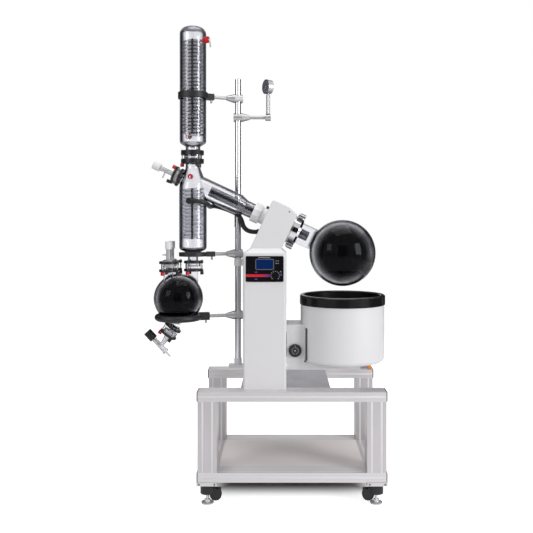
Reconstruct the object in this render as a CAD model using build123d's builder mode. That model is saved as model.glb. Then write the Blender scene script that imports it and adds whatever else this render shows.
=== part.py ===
"""Rotary evaporator on a profile frame: bath lift, turning flask, condensers and receiver."""

import os
from math import atan2, cos, degrees, pi, radians, sin, sqrt, tan

from build123d import *

# Frame of extruded profile. The origin is the middle of the whole machine's footprint, on the floor.
FRAME_X = 115.0
FRAME_Y = 20.0
FRAME_W = 780.0
FRAME_D = 520.0
RAIL_DEEP = 80.0
RAIL_HIGH = 40.0
LEG_SIDE = 80.0
TOP_Z = 471.0
LOW_Z = 98.0
SLOT_MOUTH = 8.0
SLOT_DEPTH = 11.0
SLOT_ROOM = 13.0
SLOT_LIP = 4.0
SLOT_PITCH = 40.0
CAP_THICK = 4.0
SHELF_THICK = 4.0
SEAT = 0.3

# Levelling casters
CASTER_SIDE = 84.0
CASTER_PLATE = 14.0
CASTER_BODY_R = 30.0
CASTER_BODY_H = 40.0
STEM_R = 6.0
WHEEL_R = 25.0
WHEEL_W = 20.0
WHEEL_LIFT = 12.0
WHEEL_BACK = 34.0
AXLE_R = 4.0
PAD_R = 25.5
PAD_H = 9.0
FOOT_DROP = 8.0
FORK_LONG = 42.0
FORK_HIGH = 36.0
FORK_ARM_H = 24.0
FORK_WALL = 5.0
FORK_GAP = 1.0
WHEEL_ROOM = 2.0
TREAD_ROUND = 3.0
PIN_LIFT = 6.0
PAD_EDGE = 5.5
PAD_CROWN_R = 13.0
FOOT_NUT_R = 12.0
FOOT_NUT_H = 8.0
SCREW_END = 3.0

# Running fits, free gaps, and how far a cut passes the face that it opens
RUN_GAP = 0.05
FREE_GAP = 0.4
PASS = 1.0

# Base plate and column
BASE_W = 380.0
BASE_THICK = 12.0
BASE_LEFT = 26.0
BASE_X = FRAME_X - BASE_LEFT
COL_FROM_MIDDLE = 114.0
COL_X = FRAME_X - COL_FROM_MIDDLE
COL_W = 182.0
AXIS_FRONT = 120.0
COL_Y = FRAME_Y - AXIS_FRONT
COL_D = 190.0
COL_WALL = 3.0
COL_TOP = 1042.0
NECK_W = 134.0
NECK_SHIFT = 4.0
NECK_X = COL_X + NECK_SHIFT
NECK_D = 150.0
NECK_RISE = 20.0
NECK_TOP = COL_TOP + NECK_RISE
CORNER_R = 10.0

# Tilted flask axis
TILT = 25.0
FLASK_RIGHT = 219.5
FLASK_X = FRAME_X + FLASK_RIGHT
FLASK_Z = 1040.0
FLASK_R = 143.0
GLASS = 4.0
HEAD_LEFT = -367.5
HEAD_RIGHT = -247.0
HEAD_TOP = 81.0
HEAD_CHAMFER = 43.0
HEAD_DROP = 14.0
HEAD_LOW = -66.0
HEAD_WALL = 4.0
SLEEVE_BORE = 27.0
SLEEVE_WALL = 5.0
SLEEVE_R = SLEEVE_BORE + SLEEVE_WALL
BEARING_R = 45.0
BEARING_W = 16.0
VAPOR_R = 22.0
VAPOR_WALL = 2.5
VAPOR_LEFT = -630.0
VAPOR_RIGHT = -165.0
HUB_R = 61.0
HUB_W = 7.0
NECK_R = 46.0
NECK_FLANGE_R = 56.0
FLASK_FLANGE = 10.0
CLAMP_LEN = 34.0
GRIP_R = 13.0
GRIP_LEN = 32.0
GRIP_AT = 67.5
GRIP_SHANK_R = 8.0
GRIP_SHANK_LEN = 6.0
CLAMP_BAND_R = 58.0
CLAMP_NOSE_R = 53.0
CLAMP_NOSE = 10.0

# Seal, nut and vapour duct on the left of the drive housing
SEAL_R = 36.0
SEAL_LEFT = -390.0
NUT_R = 43.0
NUT_LEFT = -425.0
NUT_SIDES = 10
DUCT_R = 45.0
DUCT_NECK_R = 33.0
DUCT_CONE = -464.0
DUCT_WIDE = -498.0

# Condensers on one upright axis
COND_FROM_MIDDLE = 426.3
COND_X = FRAME_X - COND_FROM_MIDDLE
LOW_R = 59.0
LOW_BOTTOM = 1056.0
LOW_TOP = 1335.0
LOW_SHOULDER = 71.0
TUBE_R = 31.5
UP_R = 57.0
UP_BOTTOM = 1515.0
UP_TOP = 2017.0
UPPER_JOINT = 1454.5
LOWER_JOINT = 983.5
NECK_CONE = 16.0
FOOT_BEND = 16.0
SHOULDER_BEND = 110.0
THROAT_BEND = 50.0
DOME_BEND = 30.0
DOME_CROWN = 4.0
COIL_PITCH = 15.5
COIL_ROOM = 7.0
UP_COIL_R = UP_R - GLASS - COIL_ROOM
UP_COIL_UP = 30.0
UP_COIL_HEAD = 53.0
UP_COIL_LOW = UP_BOTTOM + UP_COIL_UP
UP_TURNS = int((UP_TOP - UP_COIL_HEAD - UP_COIL_LOW) / COIL_PITCH)
LOW_COIL_ROOM = 6.0
LOW_COIL_R = LOW_R - GLASS - LOW_COIL_ROOM
LOW_COIL_UP = 39.0
LOW_COIL_LOW = LOW_BOTTOM + LOW_COIL_UP
LOW_TURNS = int((LOW_TOP - LOW_COIL_LOW) / COIL_PITCH)
COIL_BORE = 13.0
COIL_TUBE = 10.0
COIL_RIDGE = 3.5
TAIL_R = 34.0
FEED_AT = -787.0

# Receiving flask
RECV_LEFT = 62.7
RECV_X = COND_X - RECV_LEFT
RECV_Z = 844.0
RECV_R = 105.5
RECV_NECK_R = 22.0
SIDE_NECK_R = 20.0
SIDE_NECK_AT = 60.0
SIDE_NECK_TURN = 127.0
DRAIN_TILT = 34.0
DRAIN_NECK_R = 18.0
DRAIN_JOINT = 49.0
DRAIN_SHIFT = 5.0
DRAIN_INSIDE = 30.0

# Flange joints: clamp rings, studs and red knobs
SMALL_RING_R = 44.5
SMALL_RING_H = 10.5
SMALL_GAP = 24.0
BIG_RING_R = 52.5
BIG_RING_H = 19.5
BIG_GAP = 17.0
STUD_R = 3.0
KNOB_R = 8.5
KNOB_H = 14.0
FLANGE_OVER = 7.0

# Stand rod, bosses and arms
ROD_FROM_MIDDLE = 236.0
ROD_FRONT = 50.0
ROD_X = FRAME_X - ROD_FROM_MIDDLE
ROD_Y = FRAME_Y - ROD_FRONT
ROD_R = 12.5
ROD_LOW = 546.0
ROD_TOP = 1806.0
ARM_R = 7.25
BOSS_LEN = 52.0
BOSS_TAIL = 19.0
BOSS_R = 19.0
BOSS_TIP_R = 10.0
UPPER_ARM_Z = 1719.0
LOWER_ARM_Z = 1034.0
RING_ARM_Z = 763.0
GAUGE_ARM_Z = 1636.0
GAUGE_ARM = 133.0
GAUGE_X = ROD_X + GAUGE_ARM
GAUGE_R = 32.0
GAUGE_DEEP = 26.0
GAUGE_Z = 1772.0
GAUGE_TURN = 60.0
GAUGE_HUB = 12.0
GAUGE_BEZEL = 8.0
GAUGE_CASE_R = 30.0
GAUGE_DIAL_R = 28.0
GAUGE_DIAL_IN = 2.5
GAUGE_NECK_R = 6.0
GAUGE_NECK = 4.0
GAUGE_STEM_R = 8.5
GLAND_ABOVE = 37.0
GLAND_R = 11.0
GLAND_LEN = 14.0
GLAND_BACK = -34.0
COLLAR_H = 26.0
COLLAR_WALL = 7.2
COLLAR_R = UP_R + SEAT + COLLAR_WALL
RING_TUBE_R = 14.0

# Heating bath on the lift
BATH_X = FLASK_X
BATH_Y = COL_Y
BATH_GAP = 37.0
BATH_R = FLASK_R + BATH_GAP
BATH_LOW = 580.0
BATH_RIM_Z = 821.0
BATH_TOP = 861.0
RIM_OVER = 3.5
RIM_INSIDE = 17.0
POT_GAP = 15.0
RIM_R = BATH_R + RIM_OVER
RIM_IN = BATH_R - RIM_INSIDE
POT_R = BATH_R - POT_GAP
POT_WALL = 3.0
POT_LOW = 625.0
BATH_WALL = 3.0
LIFT = 150.0
BOX_GAP = 2.0
BOX_LEFT = COL_X + COL_W / 2 + BOX_GAP
BOX_FORWARD = 70.0
BOX_DEEP = 160.0
BOX_FRONT = COL_Y - BOX_FORWARD
BOX_BACK = BOX_FRONT + BOX_DEEP
BOX_LOW = 553.0
BOX_TOP = 738.0
TRAY_LEN = 283.0
TRAY_RIGHT = BOX_LEFT + TRAY_LEN
DIAL_IN = 35.0
DIAL_X = BOX_LEFT + DIAL_IN
DIAL_Z = 631.0
DIAL_R = 27.0
GUIDE_SHIFT = 4.0
GUIDE_X = COL_X + GUIDE_SHIFT
GUIDE_GAP_Y = 44.0
GUIDE_R = 9.0
CARRIAGE_Z = 600.0
CARRIAGE_H = 90.0
CARRIAGE_SIDE = 10.0
CARRIAGE_BACK = 24.0
SLOT_SIDE = 2.0
SLOT_END = 6.0
PLATE_THICK = 6.0
TRAY_ROUND = 30.0

# Panel
PANEL_W = 158.0
PANEL_H = 108.0
PANEL_Z = 976.5
PANEL_THICK = 3.0
SCREEN_W = 72.0
SCREEN_H = 40.0

FRONT_Y = COL_Y - COL_D / 2
os.makedirs("parts", exist_ok=True)


def save(part, name):
    """Label a finished piece and write it under its own name."""
    part.label = name
    export_step(part, "parts/" + name + ".step")


def upright(x, y):
    """Drawing plane through a vertical axis: width to the right, height up."""
    return Plane(origin=(x, y, 0), x_dir=(1, 0, 0), z_dir=(0, -1, 0))


def tilted(x, y, z, angle):
    """Drawing plane through an axis that falls to the right by an angle: length, then height above it."""
    along = (cos(radians(angle)), 0, -sin(radians(angle)))
    return Plane(origin=(x, y, z), x_dir=along, z_dir=(0, -1, 0))


def turned(plane, points, upward=True, bends=None, mode=Mode.ADD):
    """Revolve a closed outline about the plane's upright or lengthwise axis, with numbered corners bent."""
    axis = Axis(plane.origin, plane.y_dir if upward else plane.x_dir)
    with BuildSketch(plane) as outline:
        with BuildLine():
            if bends:
                radii = [bends.get(i, 0.0) for i in range(len(points))]
                FilletPolyline(*points, radius=radii, close=True)
            else:
                Polyline(*points, close=True)
        make_face()
    revolve(outline.sketch, axis=axis, mode=mode)


def across(plane, at):
    """Plane square to a drawing plane's length at a place along it."""
    return Plane(origin=plane.from_local_coords((at, 0, 0)), x_dir=plane.y_dir, z_dir=plane.x_dir)


def flipped(plane):
    """The same plane seen from its other side."""
    return Plane(origin=plane.origin, x_dir=plane.x_dir, z_dir=-plane.z_dir)


def disc(plane, radius, height, bore=0.0, mode=Mode.ADD):
    """Round plate or ring that stands on a plane."""
    with BuildSketch(plane) as ring:
        Circle(radius)
        if bore > 0:
            Circle(bore, mode=Mode.SUBTRACT)
    extrude(ring.sketch, amount=height, mode=mode)


FLASK = tilted(FLASK_X, COL_Y, FLASK_Z, TILT)
COND = upright(COND_X, COL_Y)
RECV = upright(RECV_X, COL_Y)
BATH = upright(BATH_X, BATH_Y)
ROD = upright(ROD_X, ROD_Y)


def tilt_point(along, above):
    """Point in the upright middle plane, given along and above the flask axis."""
    return FLASK.from_local_coords((along, above, 0))


# Profile frame


def slot_cuts(width, height):
    """T-slot outlines for the four faces of a profile's section."""
    for side, span, depth in (("x", width, height), ("y", height, width)):
        count = max(1, round(span / SLOT_PITCH))
        for i in range(count):
            at = (i - (count - 1) / 2) * SLOT_PITCH
            for sign in (-1, 1):
                mouth = sign * (depth / 2 - SLOT_LIP / 2)
                room = sign * (depth / 2 - SLOT_LIP - (SLOT_DEPTH - SLOT_LIP) / 2)
                spots = [(at, mouth), (at, room)] if side == "x" else [(mouth, at), (room, at)]
                sizes = [(SLOT_MOUTH, SLOT_LIP), (SLOT_ROOM, SLOT_DEPTH - SLOT_LIP)]
                for (u, v), (a, b) in zip(spots, sizes):
                    with Locations((u, v)):
                        Rectangle(*((a, b) if side == "x" else (b, a)), mode=Mode.SUBTRACT)


def profile_bar(plane, width, height, length):
    """Slotted bar that starts on a plane."""
    with BuildSketch(plane) as section:
        Rectangle(width, height)
        slot_cuts(width, height)
    extrude(section.sketch, amount=length)


RAIL_Y = FRAME_D / 2 - RAIL_DEEP / 2
LEG_X = FRAME_W / 2 - LEG_SIDE / 2
LEG_H = TOP_Z - LOW_Z - 2 * RAIL_HIGH
CORNERS = [(sx, sy) for sx in (-1, 1) for sy in (-1, 1)]

with BuildPart() as top_rails:
    for sy in (-1, 1):
        start = (FRAME_X - FRAME_W / 2, FRAME_Y + sy * RAIL_Y, TOP_Z - RAIL_HIGH / 2)
        profile_bar(Plane(origin=start, x_dir=(0, 1, 0), z_dir=(1, 0, 0)), RAIL_DEEP, RAIL_HIGH, FRAME_W)
save(top_rails.part, "top_rails")

with BuildPart() as bottom_rails:
    for sy in (-1, 1):
        start = (FRAME_X - FRAME_W / 2, FRAME_Y + sy * RAIL_Y, LOW_Z + RAIL_HIGH / 2)
        profile_bar(Plane(origin=start, x_dir=(0, 1, 0), z_dir=(1, 0, 0)), RAIL_DEEP, RAIL_HIGH, FRAME_W)
    for sx in (-1, 1):
        start = (FRAME_X + sx * LEG_X, FRAME_Y - FRAME_D / 2 + RAIL_DEEP + SEAT, LOW_Z + RAIL_HIGH / 2)
        side_plane = Plane(origin=start, x_dir=(1, 0, 0), z_dir=(0, 1, 0))
        profile_bar(side_plane, LEG_SIDE, RAIL_HIGH, FRAME_D - 2 * RAIL_DEEP - 2 * SEAT)
save(bottom_rails.part, "bottom_rails")

with BuildPart() as legs:
    for sx, sy in CORNERS:
        foot = Plane(origin=(FRAME_X + sx * LEG_X, FRAME_Y + sy * RAIL_Y, LOW_Z + RAIL_HIGH))
        profile_bar(foot, LEG_SIDE, LEG_SIDE, LEG_H)
save(legs.part, "legs")

with BuildPart() as rail_end_caps:
    for sx, sy in CORNERS:
        for z in (TOP_Z - RAIL_HIGH / 2, LOW_Z + RAIL_HIGH / 2):
            face = (FRAME_X + sx * FRAME_W / 2, FRAME_Y + sy * RAIL_Y, z)
            with BuildSketch(Plane(origin=face, x_dir=(0, 1, 0), z_dir=(sx, 0, 0))):
                RectangleRounded(RAIL_DEEP, RAIL_HIGH, CAP_THICK)
            extrude(amount=CAP_THICK)
save(rail_end_caps.part, "rail_end_caps")

SHELF_Z = LOW_Z + RAIL_HIGH - SHELF_THICK
SHELF_W = FRAME_W - 2 * LEG_SIDE - 2 * SEAT
SHELF_D = FRAME_D - 2 * RAIL_DEEP - 2 * SEAT
with BuildPart() as shelf_panel:
    with BuildSketch(Plane.XY.offset(SHELF_Z)):
        with Locations((FRAME_X, FRAME_Y)):
            Rectangle(SHELF_W, SHELF_D)
    extrude(amount=SHELF_THICK)
save(shelf_panel.part, "shelf_panel")

# Casters: an adaptor plate on the frame, then a swivelling body with a wheel and a screwed foot

CASTER_X = FRAME_W / 2 - CASTER_SIDE / 2 + CAP_THICK
CASTER_Y = FRAME_D / 2 - CASTER_SIDE / 2 + CAP_THICK
PLATE_LOW = LOW_Z - CASTER_PLATE
BODY_TOP = PLATE_LOW - SEAT
BODY_LOW = BODY_TOP - CASTER_BODY_H
WHEEL_Z = WHEEL_R + WHEEL_LIFT
FOOT_TOP = BODY_TOP - SCREW_END - FOOT_DROP

with BuildPart() as caster_plates:
    for sx, sy in CORNERS:
        with BuildSketch(Plane.XY.offset(PLATE_LOW)):
            with Locations((FRAME_X + sx * CASTER_X, FRAME_Y + sy * CASTER_Y)):
                Rectangle(CASTER_SIDE, CASTER_SIDE)
                Circle(STEM_R + RUN_GAP, mode=Mode.SUBTRACT)
        extrude(amount=CASTER_PLATE)
save(caster_plates.part, "caster_plates")

for number, (sx, sy) in enumerate(CORNERS, 1):
    cx = FRAME_X + sx * CASTER_X
    cy = FRAME_Y + sy * CASTER_Y
    wx = cx - sx * WHEEL_BACK
    hub = Plane(origin=(wx, cy, WHEEL_Z), x_dir=(1, 0, 0), z_dir=(0, -1, 0))
    with BuildPart() as caster_body:
        disc(Plane(origin=(cx, cy, BODY_LOW)), CASTER_BODY_R, CASTER_BODY_H)
        disc(Plane(origin=(cx, cy, BODY_TOP)), STEM_R, CASTER_PLATE - PASS)
        fork_w = WHEEL_W + 2 * FORK_GAP + 2 * FORK_WALL
        with BuildSketch(hub):
            with Locations((0, PIN_LIFT)):
                Rectangle(FORK_LONG, FORK_HIGH)
            with Locations((sx * WHEEL_BACK / 2, BODY_LOW + FORK_ARM_H / 2 - WHEEL_Z)):
                Rectangle(WHEEL_BACK, FORK_ARM_H)
        extrude(amount=fork_w / 2, both=True)
        with BuildSketch(hub):
            Circle(WHEEL_R + WHEEL_ROOM)
        extrude(amount=WHEEL_W / 2 + FORK_GAP, both=True, mode=Mode.SUBTRACT)
        with BuildSketch(hub):
            Circle(AXLE_R)
        extrude(amount=fork_w / 2, both=True)
        disc(Plane(origin=(cx, cy, 0)), STEM_R + RUN_GAP, BODY_TOP - SCREW_END, mode=Mode.SUBTRACT)
        disc(Plane(origin=(cx, cy, 0)), PAD_R + PASS, BODY_LOW, mode=Mode.SUBTRACT)
    save(caster_body.part, f"caster_body_{number}")

    with BuildPart() as caster_wheel:
        with BuildSketch(hub):
            Circle(WHEEL_R)
            Circle(AXLE_R + RUN_GAP, mode=Mode.SUBTRACT)
        extrude(amount=WHEEL_W / 2, both=True)
        fillet(caster_wheel.edges().filter_by(GeomType.CIRCLE).sort_by(SortBy.RADIUS)[-2:], TREAD_ROUND)
    save(caster_wheel.part, f"caster_wheel_{number}")

    with BuildPart() as caster_foot:
        foot_plane = upright(cx, cy)
        turned(foot_plane, [
            (0, 0),
            (PAD_R, 0),
            (PAD_R, PAD_EDGE),
            (PAD_CROWN_R, PAD_H),
            (FOOT_NUT_R, PAD_H),
            (FOOT_NUT_R, PAD_H + FOOT_NUT_H),
            (STEM_R, PAD_H + FOOT_NUT_H),
            (STEM_R, FOOT_TOP),
            (0, FOOT_TOP),
        ])
    save(caster_foot.part, f"caster_foot_{number}")

# Base plate between the top rails

with BuildPart() as base_plate:
    with BuildSketch(Plane.XY.offset(TOP_Z - BASE_THICK)):
        with Locations((BASE_X, FRAME_Y)):
            Rectangle(BASE_W, FRAME_D - 2 * RAIL_DEEP - 2 * SEAT)
    extrude(amount=BASE_THICK)
save(base_plate.part, "base_plate")

# Column: a bent sheet tower with a sloped shoulder and a slot for the lift arm

INNER_W = COL_W - 2 * COL_WALL
INNER_D = COL_D - 2 * COL_WALL
CARRIAGE_W = 2 * (GUIDE_GAP_Y + CARRIAGE_SIDE)
ARM_SLOT_W = CARRIAGE_W + 2 * SLOT_SIDE
SLOT_LOW = CARRIAGE_Z - SLOT_END
SLOT_HIGH = CARRIAGE_Z + CARRIAGE_H + LIFT + SLOT_END

with BuildPart() as column:
    with BuildSketch(Plane.XY.offset(TOP_Z)):
        with Locations((COL_X, COL_Y)):
            RectangleRounded(COL_W, COL_D, CORNER_R)
            RectangleRounded(INNER_W, INNER_D, CORNER_R - COL_WALL, mode=Mode.SUBTRACT)
    extrude(amount=COL_TOP - TOP_Z)
    with BuildSketch(Plane.XY.offset(COL_TOP)):
        with Locations((COL_X, COL_Y)):
            RectangleRounded(COL_W, COL_D, CORNER_R)
    with BuildSketch(Plane.XY.offset(NECK_TOP)):
        with Locations((NECK_X, COL_Y)):
            RectangleRounded(NECK_W, NECK_D, CORNER_R)
    loft()
    slot_face = Plane(origin=(COL_X + COL_W / 2, COL_Y, 0), x_dir=(0, 1, 0), z_dir=(1, 0, 0))
    with BuildSketch(slot_face):
        with Locations((0, (SLOT_LOW + SLOT_HIGH) / 2)):
            Rectangle(ARM_SLOT_W, SLOT_HIGH - SLOT_LOW)
    extrude(amount=-COL_WALL * 2, mode=Mode.SUBTRACT)
save(column.part, "column")

with BuildPart() as guide_rods:
    for sy in (-1, 1):
        foot = Plane(origin=(GUIDE_X, COL_Y + sy * GUIDE_GAP_Y, TOP_Z + SEAT))
        disc(foot, GUIDE_R, COL_TOP - TOP_Z - 2 * SEAT)
save(guide_rods.part, "guide_rods")

# Drive housing: the tilted head that stands on the shoulder

BACK_SIDE = Plane(origin=(FLASK_X, COL_Y + NECK_D / 2, FLASK_Z), x_dir=FLASK.x_dir, z_dir=(0, -1, 0))
LEFT_FOOT = (NECK_TOP - FLASK_Z + HEAD_LEFT * sin(radians(TILT))) / cos(radians(TILT))
RIGHT_FOOT = FLASK.to_local_coords(Vector(NECK_X + NECK_W / 2, COL_Y, NECK_TOP))
HEAD_OUTLINE = [
    (HEAD_LEFT, HEAD_TOP),
    (HEAD_RIGHT - HEAD_CHAMFER, HEAD_TOP),
    (HEAD_RIGHT, HEAD_TOP - HEAD_DROP),
    (HEAD_RIGHT, HEAD_LOW),
    (RIGHT_FOOT.X, RIGHT_FOOT.Y),
    (HEAD_LEFT, LEFT_FOOT),
]

with BuildPart() as drive_housing:
    with BuildSketch(BACK_SIDE):
        with BuildLine():
            Polyline(*HEAD_OUTLINE, close=True)
        make_face()
    extrude(amount=NECK_D)
    fillet(drive_housing.edges().filter_by(Axis.Y).sort_by(Axis.Z)[-1:], CORNER_R)
    front_face = drive_housing.faces().sort_by(Axis.Y)[0]
    fillet(front_face.edges().filter_by(lambda e: e.center().Z > NECK_TOP + PASS), HEAD_WALL)
    with BuildSketch(BACK_SIDE.offset(HEAD_WALL)):
        with BuildLine():
            Polyline(*HEAD_OUTLINE, close=True)
        make_face()
        offset(amount=-HEAD_WALL, kind=Kind.INTERSECTION)
    extrude(amount=NECK_D - 2 * HEAD_WALL, mode=Mode.SUBTRACT)
    bore_len = HEAD_RIGHT - HEAD_LEFT + 2 * PASS
    disc(across(FLASK, HEAD_LEFT - PASS), SLEEVE_R + FREE_GAP, bore_len, mode=Mode.SUBTRACT)
save(drive_housing.part, "drive_housing")

with BuildPart() as shaft_bearings:
    for at in (HEAD_LEFT + HEAD_WALL, HEAD_RIGHT - HEAD_WALL - BEARING_W):
        disc(across(FLASK, at), BEARING_R, BEARING_W, bore=SLEEVE_R + RUN_GAP)
save(shaft_bearings.part, "shaft_bearings")

# The turning train: sleeve with its hub, vapour tube, flask clamp and flask

HUB_LEFT = HEAD_RIGHT + FREE_GAP
HUB_RIGHT = HUB_LEFT + HUB_W
with BuildPart() as drive_sleeve:
    turned(FLASK, [
        (HEAD_LEFT + HEAD_WALL / 2, SLEEVE_BORE),
        (HUB_RIGHT, SLEEVE_BORE),
        (HUB_RIGHT, HUB_R),
        (HUB_LEFT, HUB_R),
        (HUB_LEFT, SLEEVE_R),
        (HEAD_LEFT + HEAD_WALL / 2, SLEEVE_R),
    ], upward=False)
save(drive_sleeve.part, "drive_sleeve")

with BuildPart() as vapor_tube:
    turned(FLASK, [
        (VAPOR_LEFT, VAPOR_R - VAPOR_WALL),
        (VAPOR_RIGHT, VAPOR_R - VAPOR_WALL),
        (VAPOR_RIGHT, VAPOR_R),
        (HEAD_RIGHT - BEARING_W, VAPOR_R),
        (HEAD_RIGHT - BEARING_W, SLEEVE_BORE),
        (HEAD_LEFT + BEARING_W, SLEEVE_BORE),
        (HEAD_LEFT + BEARING_W, VAPOR_R),
        (VAPOR_LEFT, VAPOR_R),
    ], upward=False)
save(vapor_tube.part, "vapor_tube")

CLAMP_LEFT = HUB_RIGHT
CLAMP_RIGHT = CLAMP_LEFT + CLAMP_LEN
FLANGE_RIGHT = HUB_RIGHT + FLASK_FLANGE
GRIP_STEPS = [
    (CLAMP_LEFT, GRIP_SHANK_R, GRIP_SHANK_LEN),
    (CLAMP_LEFT + GRIP_SHANK_LEN, GRIP_R, GRIP_LEN - GRIP_SHANK_LEN),
]
with BuildPart() as flask_clamp:
    turned(FLASK, [
        (CLAMP_LEFT, NECK_FLANGE_R + FREE_GAP),
        (CLAMP_LEFT, CLAMP_BAND_R),
        (CLAMP_RIGHT - CLAMP_NOSE, CLAMP_BAND_R),
        (CLAMP_RIGHT, CLAMP_NOSE_R),
        (CLAMP_RIGHT, NECK_R + FREE_GAP),
        (FLANGE_RIGHT + SEAT, NECK_R + FREE_GAP),
        (FLANGE_RIGHT + SEAT, NECK_FLANGE_R + FREE_GAP),
    ], upward=False)
    for side in (-1, 1):
        for begin, radius, length in GRIP_STEPS:
            spot = FLASK.from_local_coords((begin, side * GRIP_AT, 0))
            disc(Plane(origin=spot, x_dir=FLASK.y_dir, z_dir=FLASK.x_dir), radius, length)
    disc(across(FLASK, CLAMP_LEFT - PASS), NECK_R + FREE_GAP, CLAMP_LEN + 2 * PASS, mode=Mode.SUBTRACT)
    disc(across(FLASK, CLAMP_LEFT), NECK_FLANGE_R + FREE_GAP, FLASK_FLANGE + SEAT, mode=Mode.SUBTRACT)
save(flask_clamp.part, "flask_clamp")

FLASK_IN = FLASK_R - GLASS
NECK_IN = NECK_R - GLASS
NECK_MEET = -sqrt(FLASK_R**2 - NECK_R**2)
NECK_MEET_IN = -sqrt(FLASK_IN**2 - NECK_IN**2)
with BuildPart() as evaporating_flask:
    with BuildSketch(FLASK):
        with BuildLine():
            neck_turn = degrees(atan2(NECK_R, -NECK_MEET))
            CenterArc((0, 0), FLASK_R, 0, 180 - neck_turn)
            Polyline((NECK_MEET, NECK_R), (FLANGE_RIGHT, NECK_R), (FLANGE_RIGHT, NECK_FLANGE_R),
                     (HUB_RIGHT, NECK_FLANGE_R), (HUB_RIGHT, NECK_IN), (NECK_MEET_IN, NECK_IN))
            CenterArc((0, 0), FLASK_IN, 0, 180 - degrees(atan2(NECK_IN, -NECK_MEET_IN)))
            Line((FLASK_IN, 0), (FLASK_R, 0))
        make_face()
    revolve(axis=Axis(FLASK.origin, FLASK.x_dir))
save(evaporating_flask.part, "evaporating_flask")

# Seal housing and coupling nut that hold the duct against the turning vapour tube

with BuildPart() as seal_housing:
    seal_in = VAPOR_R + FREE_GAP
    turned(FLASK, [
        (HEAD_LEFT, seal_in),
        (HEAD_LEFT, SEAL_R),
        (SEAL_LEFT, SEAL_R),
        (SEAL_LEFT, seal_in),
    ], upward=False)
    with BuildSketch(across(FLASK, NUT_LEFT)):
        RegularPolygon(NUT_R, NUT_SIDES, major_radius=True)
        Circle(DUCT_NECK_R + SEAT, mode=Mode.SUBTRACT)
    extrude(amount=SEAL_LEFT - SEAT - NUT_LEFT)
save(seal_housing.part, "seal_housing")

# Lower condenser: one glass piece with the duct, the feed port and both flanged necks


def radial(z, azimuth, start):
    """Plane that faces outward from the condenser axis at a height and an azimuth."""
    out = (cos(radians(azimuth)), sin(radians(azimuth)), 0)
    spot = (COND_X + start * out[0], COL_Y + start * out[1], z)
    return Plane(origin=spot, x_dir=(0, 0, 1), z_dir=out)


def tilt_x(x):
    """Length along the flask axis where it crosses an upright at a distance to the right."""
    return (x - FLASK_X) / cos(radians(TILT))


TEE_AT = tilt_x(COND_X)
BIG_HALF = BIG_GAP / 2
SMALL_HALF = SMALL_GAP / 2
BIG_FLANGE_R = TUBE_R + FLANGE_OVER
SMALL_FLANGE_R = 32.5
SIDE_FLANGE_R = 30.5
MITRE = 2.0
FEED_GAP = 14.0
FEED_RING_H = 10.0
FEED_TUBE_R = 26.0
DUCT_SEAT = 10.0
DUCT_END = NUT_LEFT + DUCT_SEAT
PORT_R = 8.0
PORT_WALL = 2.0
PORT_LEN = 8.0
TOP_PORT_RISE = 31.0
TOP_PORT_R = LOW_R - (LOW_R - TUBE_R) * TOP_PORT_RISE / LOW_SHOULDER
LOW_PORT_UP = 56.0
UP_PORT_UP = 38.0
UP_PORT_DOWN = 67.0
VACUUM_DOWN = 73.0
LOW_PORTS = [(LOW_BOTTOM + LOW_PORT_UP, 122.0, LOW_R), (LOW_TOP + TOP_PORT_RISE, -92.0, TOP_PORT_R)]
UP_PORTS = [(UP_BOTTOM + UP_PORT_UP, 113.0, UP_R), (UP_TOP - UP_PORT_DOWN, -35.0, UP_R)]
VACUUM_PORT = (LOW_TOP - VACUUM_DOWN, -93.0, LOW_R)


def port_bore(z, azimuth, wall_r):
    """Open a port through the wall of a condenser."""
    bore_len = 2 * GLASS + PORT_LEN + PASS
    disc(radial(z, azimuth, wall_r - 2 * GLASS), PORT_R - PORT_WALL, bore_len, mode=Mode.SUBTRACT)


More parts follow.
